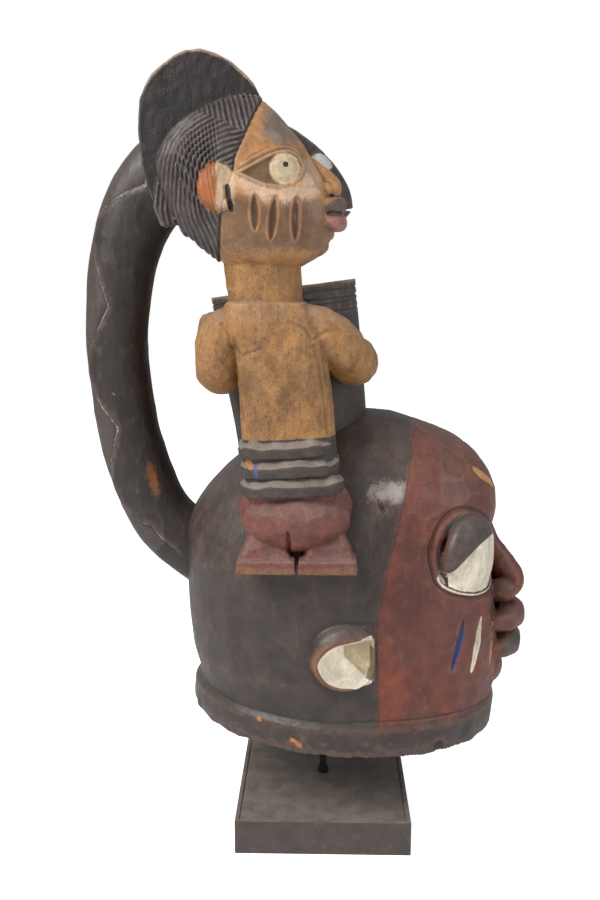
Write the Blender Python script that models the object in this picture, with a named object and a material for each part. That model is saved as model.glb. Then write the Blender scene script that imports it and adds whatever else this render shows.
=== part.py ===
"""A gelede helmet mask on its stand: a head with two kneeling figures, a drum and an arching snake."""

import math

import bmesh
import bpy
from mathutils import Matrix, Vector

# Driving sizes, in metres.
MASK_HEIGHT = 0.560
HELMET_WALL = 0.016
BASE_LENGTH = 0.150
BASE_DEPTH = 0.180
BASE_THICKNESS = 0.030
BASE_STEP = 0.0025
BASE_STEP_INSET = 0.004
ROD_DIAMETER = 0.0062
ROD_SIDES = 16
ROD_COLLAR_DIAMETER = 0.0095
ROD_COLLAR_HEIGHT = 0.006
RIM_ABOVE_BASE = 0.070
GAP = 0.0003

# The carving is drawn in carver's units, each a share of the mask's own height. Its origin is where
# the rod's axis meets the level of the rim. The face looks along +X, and one figure kneels at each
# side, at -Y and +Y.
UNIT = MASK_HEIGHT / 560
RIM_LEVEL = BASE_THICKNESS + RIM_ABOVE_BASE

# Helmet sections from the rim up: level, back, front and half the width.
HELMET_SECTIONS = (
    (0, -112, 150, 103),
    (28, -111, 152, 103),
    (58, -117, 155, 105),
    (96, -121, 153, 106),
    (125, -122, 149, 106),
    (150, -122, 145, 105),
    (170, -120, 146, 103),
    (189, -112, 150, 99),
    (207, -99, 149, 92),
    (226, -80, 140, 83),
    (244, -57, 122, 70),
    (257, -33, 95, 54),
    (266, -8, 68, 36),
)
HELMET_TOP = 272
HELMET_SIDES = 34
HELMET_LEVELS = (0, 9, 20, 26, 31, 48, 72, 98, 126, 152, 172, 189, 206, 224, 240, 254, 264, 269)
SECTION_MIDDLE = 0.45
FACE_SQUARENESS = 2.35
NAPE_SQUARENESS = 2.05
RIM_ROUNDING = 0.22
RIM_ROUNDING_LEVEL = 60
RIM_SLOPE = -0.05
RIM_SAG = 3
RIM_HEIGHT = 26
RIM_FLARE_BACK = 6.5
RIM_FLARE_FRONT = 2.5
CAVITY_SIDES = 18
CAVITY_TOP_LEVEL = 244
CAVITY_LEVELS = (-30, 20, 70, 120, 165, 195, 222, CAVITY_TOP_LEVEL)
CROWN_CURVE_LEVEL = 150
CROWN_DROP = 0.8

# The large head's nose, eyes, ears and cheek marks. A mark's place is in degrees from the nose, with
# its level.
NOSE_ROUTE = ((142, 0, 172), (150, 0, 150), (162, 0, 131), (167, 0, 118), (158, 0, 106))
NOSE_SIZES = ((0, 6, 7), (0.35, 10, 10), (0.7, 13, 16), (0.85, 13, 19), (1, 8, 15))
EYE_LEVEL = 157
EYE_DEGREES = 26
EYE_INSET = 11
EYE_RADII = (19, 31, 38)
EYE_TILT = 21
EYE_LEAN = 8
EAR_PLACE = 15
EAR_SPREAD = 103
EAR_LEVEL = 83.5
EAR_RADII = (28.5, 16, 29)
EAR_BOWL_RADII = (25, 14, 21)
EAR_BOWL_SHIFT = (8, 12, -2)
CHEEK_MARKS = ((46, 78), (34, 76), (18, 80))
CHEEK_MARK_RADII = (3.4, 3.4, 26)

# The drum leans back as the figures do. Its grooves lie at these shares of its height.
DRUM_FOOT = (-18, 0, 240)
DRUM_TOP = (-36, 0, 376)
DRUM_FOOT_RADIUS = 57
DRUM_TOP_RADIUS = 62.5
DRUM_SIDES = 20
DRUM_GROOVES = ((0.83, 0.86), (0.905, 0.93))
DRUM_GROOVE = 2.0

# The snake's middle line, and its half width and half depth along it.
SNAKE_ROUTE = (
    (-100, 0, 136), (-135, 0, 163), (-154, 0, 191), (-170, 0, 238), (-178, 0, 285), (-181, 0, 338),
    (-173, 0, 402), (-155, 0, 447), (-125, 0, 479), (-86, 0, 492), (-46, 0, 485), (-13, 0, 463),
    (18, 0, 436),
)
SNAKE_SIZES = (
    (0, 29, 27), (0.2, 27.5, 26), (0.4, 26.5, 25), (0.5, 29, 27), (0.6, 33, 28), (0.68, 33, 28),
    (0.8, 29, 27), (0.91, 27, 27), (0.96, 20, 22), (1, 8, 15),
)
SNAKE_RINGS = 23
SNAKE_SIDES = 12
SNAKE_NOTCH = 4
STRUT_ROUTE = ((-14, 0, 372), (-12, 0, 395), (-10, 0, 425))
STRUT_RADIUS = 9

# A figure's trunk: level, x of its middle, half its width and half its depth.
FIGURE_MIDDLE = 92
TORSO_ROWS = (
    (200, -24, 30, 20), (216, -25, 36, 26), (262, -28, 37, 26), (300, -31, 36, 26), (335, -35, 35, 27),
    (352, -42, 37, 26), (364, -46, 31, 22),
)

# The strings of beads round its waist: level, x of their middle and half their width.
WAIST_RINGS = ((255, -30, 37), (240, -27.5, 37.5), (225, -25, 39))
WAIST_RING_PROFILE = ((-6.5, -1.5), (-4.5, 1.0), (2.5, 1.0), (6.5, -2.5))
WAIST_RING_FLATTENING = 7
WAIST_RING_SLOPE = 0.05

# Its haunches and feet.
HAUNCH_MIDDLE = -22
HAUNCH_LEVEL = 195
HAUNCH_RADII = (43, 30, 25)
THIGH_RADII = (22, 34, 22)
FOOT_SIZE = (45, 62, 30)
FOOT_TAPER = (0.7, 0.8, 1.0)
FOOT_EDGE = 7
FOOT_LEVEL = 173

# Its head: skull sections as level, back, front and half the width, and the crest's outline.
HEAD_MIDDLE = 88
FAR_HEAD_SHIFT = -8
SKULL_ROWS = (
    (398, -80, -6, 24), (410, -95, 4, 35), (424, -107, 7, 41), (440, -115, 6, 44), (458, -119, 3, 45),
    (474, -119, -5, 44), (490, -113, -20, 40), (504, -102, -34, 33), (514, -88, -50, 21),
)
CREST_HALF = 8
CREST_OUTLINE = (
    (-49, 518), (-62, 536), (-82, 549), (-104, 551), (-122, 541), (-135, 526), (-140, 508), (-140, 480),
    (-134, 450), (-124, 424), (-96, 430), (-70, 480),
)
SCAR_PLACES = ((-48, 44), (-33, 42), (-18, 37.5))
SCAR_LEVEL = 431
SCAR_RADII = (1.8, 2.8, 16)


def mix(a, b, t):
    return a + (b - a) * t


def ease(t):
    t = min(max(t, 0.0), 1.0)
    return t * t * (3 - 2 * t)


def power(value, exponent):
    return math.copysign(abs(value) ** exponent, value)


def stations(rows, value):
    """The other columns of a table at this value of its first one, read along a smooth curve."""
    last = len(rows) - 1
    i = 0
    while i < last - 1 and value > rows[i + 1][0]:
        i += 1
    before, start, end, after = (rows[min(max(k, 0), last)] for k in (i - 1, i, i + 1, i + 2))
    span = end[0] - start[0]
    t = min(max((value - start[0]) / span, 0.0), 1.0)
    found = []
    for column in range(1, len(start)):
        slope_in = span * (end[column] - before[column]) / (end[0] - before[0])
        slope_out = span * (after[column] - start[column]) / (after[0] - start[0])
        found.append(
            (2 * t**3 - 3 * t**2 + 1) * start[column]
            + (t**3 - 2 * t**2 + t) * slope_in
            + (3 * t**2 - 2 * t**3) * end[column]
            + (t**3 - t**2) * slope_out
        )
    return found


def clear_scene():
    for obj in list(bpy.data.objects):
        bpy.data.objects.remove(obj)


def material(name, colour, roughness, metallic=0.0):
    made = bpy.data.materials.new(name)
    made.use_nodes = True
    shader = made.node_tree.nodes["Principled BSDF"]
    shader.inputs["Base Color"].default_value = (*colour, 1.0)
    shader.inputs["Roughness"].default_value = roughness
    shader.inputs["Metallic"].default_value = metallic
    return made


def new_object(name, bm, collection, scale=UNIT, lift=RIM_LEVEL):
    """Turns a bmesh into an object, from carver's units into metres above the ground."""
    bmesh.ops.transform(bm, matrix=Matrix.Scale(scale, 4), verts=bm.verts)
    bmesh.ops.translate(bm, vec=(0, 0, lift), verts=bm.verts)
    bmesh.ops.recalc_face_normals(bm, faces=bm.faces)
    mesh = bpy.data.meshes.new(name)
    bm.to_mesh(mesh)
    bm.free()
    obj = bpy.data.objects.new(name, mesh)
    collection.objects.link(obj)
    return obj


def shaped_ball(rings, sides, place):
    """A ball whose rings are put where place(ring, angle) says, from ring 0, the lowest, to the top.

    The two poles close the ends, at the mean of the ring beside them."""
    bm = bmesh.new()
    bmesh.ops.create_uvsphere(bm, u_segments=sides, v_segments=rings + 1, radius=1.0)
    beside_poles = {0: [], rings - 1: []}
    poles = []
    for vert in bm.verts:
        row = rings - round(math.acos(min(max(vert.co.z, -1.0), 1.0)) / math.pi * (rings + 1))
        if row in (-1, rings):
            poles.append((vert, 0 if row < 0 else rings - 1))
            continue
        vert.co = place(row, math.atan2(vert.co.y, vert.co.x))
        if row in beside_poles:
            beside_poles[row].append(vert.co.copy())
    for vert, row in poles:
        vert.co = sum(beside_poles[row], Vector()) / len(beside_poles[row])
    return bm


def ball(centre, radii, turn=(0, 0, 0), sides=12, rings=7):
    """An ellipsoid, turned by these degrees about X, then Y, then Z."""
    bm = bmesh.new()
    bmesh.ops.create_uvsphere(bm, u_segments=sides, v_segments=rings + 1, radius=1.0)
    about_x, about_y, about_z = (
        Matrix.Rotation(math.radians(angle), 4, axis) for angle, axis in zip(turn, "XYZ")
    )
    spin = about_z @ about_y @ about_x
    bmesh.ops.transform(
        bm, matrix=Matrix.Translation(centre) @ spin @ Matrix.Diagonal((*radii, 1.0)), verts=bm.verts
    )
    return bm


def curve_point(points, t):
    """A point on the smooth curve through these points, with t from 0 to 1."""
    last = len(points) - 1
    place = min(max(t, 0.0), 1.0) * last
    i = min(int(place), last - 1)
    u = place - i
    a, b, c, d = (Vector(points[min(max(k, 0), last)]) for k in (i - 1, i, i + 1, i + 2))
    return 0.5 * (2 * b + (c - a) * u + (2 * a - 5 * b + 4 * c - d) * u**2 + (3 * b - a - 3 * c + d) * u**3)


def limb(points, sizes, rings, sides, up=(0, 1, 0), notch=0.0):
    """A limb along a smooth curve. sizes gives, for t from 0 to 1, its half width and half depth.

    A notch cuts every other ring in by that much, part way round from the outer side of the bend."""

    def place(row, angle):
        t = row / (rings - 1)
        step = 0.02
        forward = (curve_point(points, t + step) - curve_point(points, t - step)).normalized()
        across = Vector(up).cross(forward).normalized()
        upward = forward.cross(across)
        half_width, half_depth = stations(sizes, t)
        chipped = row % 2 and 0.3 < -math.cos(angle) < 0.8 and row < rings * 0.75
        cut = notch if chipped else 0.0
        return (
            curve_point(points, t)
            + across * ((half_width - cut) * math.cos(angle))
            + upward * ((half_depth - cut) * math.sin(angle))
        )

    return shaped_ball(rings, sides, place)


def section_point(level, angle, back, front, half):
    """A point of a helmet section: egg-shaped, and squarer at the face than at the nape or the rim."""
    centre = mix(back, front, SECTION_MIDDLE)
    faces_front = math.cos(angle) > 0
    reach = front - centre if faces_front else centre - back
    squareness = FACE_SQUARENESS if faces_front else NAPE_SQUARENESS
    squareness -= RIM_ROUNDING * (1 - ease(level / RIM_ROUNDING_LEVEL))
    return (
        centre + reach * power(math.cos(angle), 2 / squareness),
        half * power(math.sin(angle), 2 / squareness),
    )


# The helmet


def rim_flare(level, angle):
    """How far the flared rim stands out from the wall at this height."""
    reach = mix(RIM_FLARE_FRONT, RIM_FLARE_BACK, (1 - math.cos(angle)) / 2)
    return reach * ease((RIM_HEIGHT + 5 - level) / 9) * mix(1.0, 0.75, ease(1 - level / 12))


def helmet_surface(level, angle, inset=0.0, flare=True):
    """A point of the helmet's wall. Near the rim the levels follow its slope."""
    back, front, half = stations(HELMET_SECTIONS, level)
    grow = (rim_flare(level, angle) if flare else 0.0) - inset
    x, y = section_point(level, angle, back - grow, front + grow, half + grow)
    sag = RIM_SAG * math.sin(angle) ** 2
    return Vector((x, y, level + (RIM_SLOPE * x - sag) * (1 - level / HELMET_TOP)))


def on_face(level, degrees, side, inset=0.0):
    """A point of the wall this many degrees round from the nose, and the way the wall faces there."""
    angle = math.radians(degrees) * side
    here = helmet_surface(level, angle, flare=False)
    along = helmet_surface(level, angle + 0.05 * side, flare=False) - here
    outward = Vector((along.y, -along.x, 0)).normalized() * side
    return here - outward * inset, math.degrees(math.atan2(outward.y, outward.x))


def helmet(collection):
    return new_object("mask", shaped_ball(
        len(HELMET_LEVELS), HELMET_SIDES, lambda row, angle: helmet_surface(HELMET_LEVELS[row], angle)
    ), collection)


def cavity_point(level, angle):
    """A point of the hollow: the wall's thickness inside the outer surface, and flat at its top."""
    wall = HELMET_WALL / UNIT
    point = helmet_surface(level, angle, inset=wall, flare=False)
    under_crown = ease((level - CROWN_CURVE_LEVEL) / (CAVITY_TOP_LEVEL - CROWN_CURVE_LEVEL))
    point.z = mix(point.z, level, under_crown) - wall * CROWN_DROP * under_crown
    if level < 0:
        point.z += level
    return point


def helmet_cavity(cutters):
    """The hollow that the wearer's head goes into, open at the rim."""
    new_object("helmet_cavity", shaped_ball(
        len(CAVITY_LEVELS), CAVITY_SIDES, lambda row, angle: cavity_point(CAVITY_LEVELS[row], angle)
    ), cutters)


def lips(home, middle, spread, upper, lower, thickness, rows, sides):
    """Two full lips, as short limbs bent round the mouth. upper and lower are their corner's x, their
    front's x and their level."""
    for name, (corner, front, level) in (("upper_lip_form", upper), ("lower_lip_form", lower)):
        bend = mix(corner, front, 0.65)
        route = [(corner, middle - spread, level), (bend, middle - spread * 0.62, level),
                 (front, middle, level), (bend, middle + spread * 0.62, level),
                 (corner, middle + spread, level)]
        sizes = ((0, thickness * 0.5, thickness * 0.5), (0.5, thickness, thickness),
                 (1, thickness * 0.5, thickness * 0.5))
        new_object(name, limb(route, sizes, rows, sides, up=(0, 0, 1)), home)


def helmet_face(forms, cutters):
    """Nose with its wings, lips, chin, bulging eyes and the three gouges down each cheek."""
    new_object("nose_form", limb(NOSE_ROUTE, NOSE_SIZES, 8, 12), forms)
    lips(forms, 0, 38, (142, 170, 88), (142, 167, 63), 12, 7, 10)
    new_object("chin_form", ball((140, 0, 42), (22, 36, 20), sides=14), forms)
    for side in (-1, 1):
        new_object("nostril_form", ball((158, side * 16, 112), (13, 11, 11), sides=10, rings=5), forms)
        place, azimuth = on_face(EYE_LEVEL, EYE_DEGREES, side, inset=EYE_INSET)
        lean = (-side * EYE_TILT, EYE_LEAN, azimuth)
        new_object("eye_form", ball(place, EYE_RADII, lean, 12, 6), forms)
        for degrees, level in CHEEK_MARKS:
            place, azimuth = on_face(level, degrees, side)
            new_object("cheek_mark", ball(place, CHEEK_MARK_RADII, (0, 10, azimuth / 3), 6, 5), cutters)


def helmet_ear(forms, cutters, side):
    """A shallow bowl of an ear with a raised rim that is open to the front."""
    lean = (side * 8, 0, side * 4)
    place = Vector((EAR_PLACE, side * EAR_SPREAD, EAR_LEVEL))
    forward, outward, up = EAR_BOWL_SHIFT
    bowl = place + Vector((forward, side * outward, up))
    new_object("ear_form", ball(place, EAR_RADII, lean, 16, 6), forms)
    new_object("ear_bowl", ball(bowl, EAR_BOWL_RADII, lean, 12, 5), cutters)


# The drum


def drum(forms):
    """A leaning drum with grooves cut round it under its flat top."""
    rows = [(0.0, 0.0), (0.45, 0.0)]
    for low, high in DRUM_GROOVES:
        rows += [(low - 0.01, 0.0), (low, DRUM_GROOVE), (high, DRUM_GROOVE), (high + 0.01, 0.0)]
    rows += [(1.0, 0.0)]
    foot = Vector(DRUM_FOOT)
    axis = Vector(DRUM_TOP) - foot
    across = Vector((0, 1, 0)).cross(axis).normalized()

    def place(row, angle):
        t, cut = rows[row]
        radius = mix(DRUM_FOOT_RADIUS, DRUM_TOP_RADIUS, t) - cut
        rim = across * (radius * math.cos(angle)) + Vector((0, radius * math.sin(angle), 0))
        return foot + axis * t + rim

    new_object("drum_form", shaped_ball(len(rows), DRUM_SIDES, place), forms)


# The snake


def snake(forms, cutters):
    """The arching body with a chip-carved zigzag along its back, and its head on a short strut."""
    bm = limb(SNAKE_ROUTE, SNAKE_SIZES, SNAKE_RINGS, SNAKE_SIDES, notch=SNAKE_NOTCH)
    new_object("snake_form", bm, forms)
    strut_sizes = [(t, STRUT_RADIUS, STRUT_RADIUS) for t in (0, 1)]
    new_object("strut_form", limb(STRUT_ROUTE, strut_sizes, 3, 8), forms)
    new_object("mouth_cut", ball((27, 0, 441), (17, 30, 1.6), (0, 12, 0), 12, 5), cutters)


# A kneeling figure. Its places are given from its own middle plane, at side * FIGURE_MIDDLE.


def torso(forms, side):
    """A tapered trunk that leans back with its head."""

    def place(row, angle):
        z, x, half_width, half_depth = TORSO_ROWS[row]
        return Vector((
            x + half_width * power(math.cos(angle), 0.75),
            side * FIGURE_MIDDLE + half_depth * power(math.sin(angle), 0.7),
            z,
        ))

    new_object("torso_form", shaped_ball(len(TORSO_ROWS), 14, place), forms)


def arms(forms, side):
    """Two stubby arms bent round the drum, with their hands on its flanks."""
    sizes = ((0, 15, 16), (0.3, 18, 18), (0.7, 17, 16), (1, 11, 11))
    left = ((-52, 94, 352), (-80, 92, 343), (-84, 72, 320), (-90, 44, 320), (-100, 16, 350))
    right = ((-26, 94, 350), (0, 92, 340), (18, 76, 318), (26, 46, 312), (28, 14, 322))
    for name, route in (("left_arm_form", left), ("right_arm_form", right)):
        mirrored = [(x, side * y, z) for x, y, z in route]
        new_object(name, limb(mirrored, sizes, 8, 8, up=(0, 0, 1)), forms)


def waist_rings(forms, side):
    """Three thick strings of beads round the waist, cut as plain rings."""
    for level, x, reach in WAIST_RINGS:

        def place(row, angle, level=level, x=x, reach=reach):
            rise, grow = WAIST_RING_PROFILE[row]
            half = reach + grow
            across = half * power(math.cos(angle), 0.72)
            return Vector((
                x + across,
                side * FIGURE_MIDDLE + (half - WAIST_RING_FLATTENING) * power(math.sin(angle), 0.72),
                level + rise + WAIST_RING_SLOPE * across,
            ))

        new_object("waist_ring_form", shaped_ball(len(WAIST_RING_PROFILE), 12, place), forms)


def foot(forms, x, y):
    """A block of a foot with a rounded heel above and a flat sole."""
    bm = bmesh.new()
    bmesh.ops.create_cube(bm, size=1.0)
    bmesh.ops.scale(bm, vec=FOOT_SIZE, verts=bm.verts)
    bmesh.ops.scale(bm, vec=FOOT_TAPER, verts=[v for v in bm.verts if v.co.z > 0])
    upper = [e for e in bm.edges if max(v.co.z for v in e.verts) > 0]
    bmesh.ops.bevel(bm, geom=upper, offset=FOOT_EDGE, segments=1, affect="EDGES", profile=0.5)
    bmesh.ops.translate(bm, vec=(x, y, FOOT_LEVEL), verts=bm.verts)
    new_object("foot_form", bm, forms)


def haunches(forms, side):
    """Buttocks on the heels, thighs against the helmet, and feet that stand out from it."""
    new_object("buttock_form", ball((HAUNCH_MIDDLE, side * 100, HAUNCH_LEVEL), HAUNCH_RADII, sides=14),
               forms)
    for hand in (-1, 1):
        thigh = (HAUNCH_MIDDLE + hand * 25, side * 78, HAUNCH_LEVEL + 8)
        new_object("thigh_form", ball(thigh, THIGH_RADII, sides=8, rings=4), forms)
        foot(forms, HAUNCH_MIDDLE + 1 + hand * 24, side * 98)


def crest(forms, middle, shift):
    """The upright crest of hair, a plate along the middle of the head."""
    bm = bmesh.new()
    face = bm.faces.new([bm.verts.new((x + shift, middle - CREST_HALF, z)) for x, z in CREST_OUTLINE])
    swept = bmesh.ops.extrude_face_region(bm, geom=[face])["geom"]
    bmesh.ops.translate(bm, vec=(0, 2 * CREST_HALF, 0),
                        verts=[g for g in swept if isinstance(g, bmesh.types.BMVert)])
    new_object("crest_form", bm, forms)


def skull(forms, middle, shift):
    def place(row, angle):
        level, back, front, half = SKULL_ROWS[row]
        return Vector((
            shift + (back + front) / 2 + (front - back) / 2 * power(math.cos(angle), 0.9),
            middle + half * power(math.sin(angle), 0.9),
            level,
        ))

    new_object("skull_form", shaped_ball(len(SKULL_ROWS), 16, place), forms)


def head(forms, cutters, side, shift):
    """The figure's head on its neck, with a hair cap, a crest, ears, features and cheek scars."""
    middle = side * HEAD_MIDDLE
    new_object("neck_form", limb([(-46, middle, 356), (-47 + shift / 2, middle, 380),
                                  (-50 + shift, middle, 410)], ((0, 28, 24), (1, 30, 25)), 3, 14), forms)
    skull(forms, middle, shift)
    crest(forms, middle, shift)
    new_object("hair_form", ball((-92 + shift, middle, 458), (46, 47, 52), (0, 38, 0), 12, 6), forms)
    nose = [(-8, 470), (-2, 462), (4, 454), (-2, 448)]
    new_object("nose_form", limb([(x + shift, middle, z) for x, z in nose],
                                 ((0, 3, 5), (0.7, 6, 10), (1, 4, 9)), 4, 8), forms)
    lips(forms, middle, 15, (-10 + shift, 6 + shift, 439), (-10 + shift, 7 + shift, 427), 6, 5, 7)
    for hand in (-1, 1):
        new_object("eye_form", ball((-27 + shift, middle + hand * 31, 464), (9, 22, 11),
                                    (0, 0, hand * 62), 10, 5), forms)
        new_object("ear_form", ball((-82 + shift, middle + hand * 42, 451), (13, 8, 21), (0, -10, 0), 8,
                                    5), forms)
        for x, y in SCAR_PLACES:
            place = (x + shift, middle + hand * y, SCAR_LEVEL)
            new_object("scar", ball(place, SCAR_RADII, sides=5, rings=3), cutters)


def figure(forms, cutters, side, shift):
    torso(forms, side)
    arms(forms, side)
    waist_rings(forms, side)
    haunches(forms, side)
    head(forms, cutters, side, shift)


# The whole carving


def carving(home, forms, cutters):
    """One piece of wood: every form joined to the helmet, then hollowed and cut."""
    body = helmet(home)
    body.data.materials.append(material("carved_wood", (0.10, 0.07, 0.06), 0.6))
    helmet_face(forms, cutters)
    helmet_cavity(cutters)
    drum(forms)
    snake(forms, cutters)
    for side, head_shift in ((-1, 0), (1, FAR_HEAD_SHIFT)):
        helmet_ear(forms, cutters, side)
        figure(forms, cutters, side, head_shift)
    for name, operation, helpers in (("join", "UNION", forms), ("hollow", "DIFFERENCE", cutters)):
        step = body.modifiers.new(name, "BOOLEAN")
        step.operation = operation
        step.operand_type = "COLLECTION"
        step.collection = helpers
        step.solver = "EXACT"


# The stand


def stand_base(home):
    """A low block with a shallow step round its top."""
    bm = bmesh.new()
    bmesh.ops.create_cube(bm, size=1.0)
    bmesh.ops.scale(bm, vec=(BASE_LENGTH, BASE_DEPTH, BASE_THICKNESS), verts=bm.verts)
    bmesh.ops.translate(bm, vec=(0, 0, BASE_THICKNESS / 2), verts=bm.verts)
    top = max(bm.faces, key=lambda face: face.calc_center_median().z)
    corners = list(top.verts)
    bmesh.ops.inset_region(bm, faces=[top], thickness=BASE_STEP_INSET)
    bmesh.ops.translate(bm, vec=(0, 0, -BASE_STEP), verts=corners)
    obj = new_object("stand_base", bm, home, scale=1.0, lift=0.0)
    obj.data.materials.append(material("black_base", (0.03, 0.03, 0.03), 0.7))


def stand_rod(home):
    """The rod stands on the base with a small collar and ends just under the inside of the crown."""
    wall_drop = HELMET_WALL * CROWN_DROP
    bottom = BASE_THICKNESS + GAP
    top = RIM_LEVEL + UNIT * CAVITY_TOP_LEVEL - wall_drop - GAP
    rows = ((bottom, ROD_COLLAR_DIAMETER), (bottom + ROD_COLLAR_HEIGHT, ROD_COLLAR_DIAMETER),
            (bottom + ROD_COLLAR_HEIGHT, ROD_DIAMETER), (top, ROD_DIAMETER))
    bm = shaped_ball(len(rows), ROD_SIDES, lambda row, angle: Vector((
        rows[row][1] / 2 * math.cos(angle), rows[row][1] / 2 * math.sin(angle), rows[row][0])))
    obj = new_object("stand_rod", bm, home, scale=1.0, lift=0.0)
    obj.data.materials.append(material("black_metal", (0.015, 0.015, 0.015), 0.45, 1.0))


def main():
    clear_scene()
    scene = bpy.context.scene.collection
    home = bpy.data.collections.new("gelede_mask")
    forms = bpy.data.collections.new("forms")
    cutters = bpy.data.collections.new("cutters")
    for collection in (home, forms, cutters):
        scene.children.link(collection)
    carving(home, forms, cutters)
    stand_base(home)
    stand_rod(home)
    for helper in (*forms.objects, *cutters.objects):
        helper.hide_render = True
        helper.display_type = "WIRE"


main()
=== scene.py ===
"""The looks of a gelede helmet mask on its stand: carved skins, worn paint and a plain studio."""

import itertools
import math

import bmesh
import bpy
import numpy as np
from bpy.props import FloatProperty, FloatVectorProperty, PointerProperty
from mathutils import Matrix, Vector


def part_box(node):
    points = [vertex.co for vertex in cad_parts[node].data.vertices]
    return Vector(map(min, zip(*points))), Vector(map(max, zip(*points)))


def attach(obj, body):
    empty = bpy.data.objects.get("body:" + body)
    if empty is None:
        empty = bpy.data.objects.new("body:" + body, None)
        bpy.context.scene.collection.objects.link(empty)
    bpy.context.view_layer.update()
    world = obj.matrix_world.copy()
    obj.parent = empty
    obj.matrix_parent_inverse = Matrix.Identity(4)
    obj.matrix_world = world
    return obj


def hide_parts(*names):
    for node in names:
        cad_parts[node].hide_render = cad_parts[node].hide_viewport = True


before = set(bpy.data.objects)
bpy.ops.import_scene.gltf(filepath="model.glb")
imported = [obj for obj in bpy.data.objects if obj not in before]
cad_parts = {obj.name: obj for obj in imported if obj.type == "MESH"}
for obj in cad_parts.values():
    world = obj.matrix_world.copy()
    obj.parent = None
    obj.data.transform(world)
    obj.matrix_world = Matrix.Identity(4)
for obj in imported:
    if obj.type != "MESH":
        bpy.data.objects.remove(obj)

bl_info = {
    "name": "Gelede Mask Looks",
    "version": (1, 0, 0),
    "blender": (4, 5, 0),
    "location": "3D View > Sidebar > Gelede",
    "description": "Carves and paints the skins of a gelede helmet mask and sets up its studio",
    "category": "Add Mesh",
}

# The carving is worked in carver's units, a millimetre each. Their origin is where the rod's axis
# meets the level of the helmet's rim. The face looks along +X, and a figure kneels at each side.
UNIT = 0.001
RIM_LEVEL = 0.100
NEAR = -1
FAR = 1

# Helmet sections from the rim up: level, back, front and half the width.
HELMET_SECTIONS = (
    (0, -112, 150, 103),
    (28, -111, 152, 103),
    (58, -117, 155, 105),
    (96, -121, 153, 106),
    (125, -122, 149, 106),
    (150, -122, 145, 105),
    (170, -120, 146, 103),
    (189, -112, 150, 99),
    (207, -99, 149, 92),
    (226, -80, 140, 83),
    (244, -57, 122, 70),
    (257, -33, 95, 54),
    (264, -8, 76, 40),
    (269, 14, 60, 22),
    (271, 26, 46, 9),
)
HELMET_TOP = 271.5
HELMET_SIDES = 144
HELMET_RINGS = 70
SECTION_MIDDLE = 0.45
FACE_SQUARENESS = 2.35
NAPE_SQUARENESS = 2.05
RIM_ROUNDING = 0.22
RIM_ROUNDING_LEVEL = 60
RIM_SLOPE = -0.05
RIM_SAG = 3
RIM_HEIGHT = 26
RIM_FLARE_BACK = 6.5
RIM_FLARE_FRONT = 2.5
HELMET_WALL = 16
CAVITY_TOP_LEVEL = 244
CROWN_CURVE_LEVEL = 150
CROWN_DROP = 0.8

# Where the black crown ends and the red face begins: level, x.
HAIRLINE = ((20, 46), (45, 45), (82, 43), (114, 44), (151, 51), (186, 59), (224, 68), (252, 73), (266, 79))

# The large head's eyes, ears and cheek marks. A mark is its upper and its lower end. The eye's outline
# is given towards the nose and up, in shares of its radii, and the ear's in x and level.
EYE_LEVEL = 154.3
EYE_DEGREES = 32
EYE_INSET = 4.8
EYE_RADII = (16.5, 36, 46)
EYE_TILT = 44
EYE_LEAN = 7.7
EYE_TURN = 6.2
EYE_EDGE = (
    (0.69, 0.79), (0.93, 0.38), (0.98, -0.15), (0.82, -0.6), (0.42, -0.92), (0.02, -0.86),
    (-0.49, -0.44), (-0.76, -0.14), (-0.97, 0.15), (-1.03, 0.4), (-0.92, 0.56), (-0.62, 0.86),
    (-0.11, 1.05), (0.36, 1.02),
)
EAR_PLACE = (15, 103, 83.5)
EAR_RADII = (28.5, 16, 29)
EAR_RIM = ((41, 107), (26, 110.5), (10, 109.5), (-4, 101), (-11, 86), (-9, 69), (1, 58), (19, 54.5), (42, 61))
EAR_BOWL = ((41, 100), (24, 99), (8, 94.5), (-2, 86), (-5, 76), (4, 63), (22, 59), (42, 64))
EAR_FOLD = ((16, 93.5), (41, 99), (41, 70), (34, 67), (17, 83))
# The painted shadow along the ear's open front edge, in x and level.
EAR_FRONT_SHADOW = ((37, 93), (42, 92), (42, 62), (34, 66), (38, 76))
BLUE_SPECKS = ((21, -79, 232), (39, -81, 227), (22, -92, 206), (26, -101, 175), (26, -103, 162))
BLUE_MARK = ((118, 76, 108), (106, 86, 61))
WHITE_MARK = ((134, 61, 104), (124, 72, 57))
OCHRE_MARK = ((149, 38, 105), (143, 50, 55))
OCHRE_WEAR = ((123, -46, 228), (133, -41, 222), (146, -25, 207))
MARK_CUT_HALF_WIDTH = 3.9

# The helmet's softened brow and chin, the lines cut into its face, and the worn places of the crown and
# the rim.
BROW_PLACE = (146, 22, 176)
CHIN_PLACE = (146, 26, 30)
MOUTH_LINE = ((150, 34, 75.5), (168, 22, 76), (182, 0, 76))
NOSTRIL_PLACE = (168, 9, 103)
NOSTRIL_RADII = (5.5, 4.2, 4)
NOSE_WING_LINE = ((146, 21, 122), (143, 24, 112), (150, 23, 103))
CROWN_GOUGE = ((42, -89, 213), (49, -93, 198))
CROWN_WEAR = (54, -86, 215)
RIM_NOTCH = (98, -88, -2)
RIM_CHIPS = (((-29, -103, 11), (-14, -104, 4)), ((-55, -92, 25), (-51, -93, 22)))

# The drum leans back as the figures do.
DRUM_FOOT = (-18, 0, 240)
DRUM_TOP = (-36, 0, 376)
DRUM_FOOT_RADIUS = 57
DRUM_TOP_RADIUS = 62.5

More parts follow.
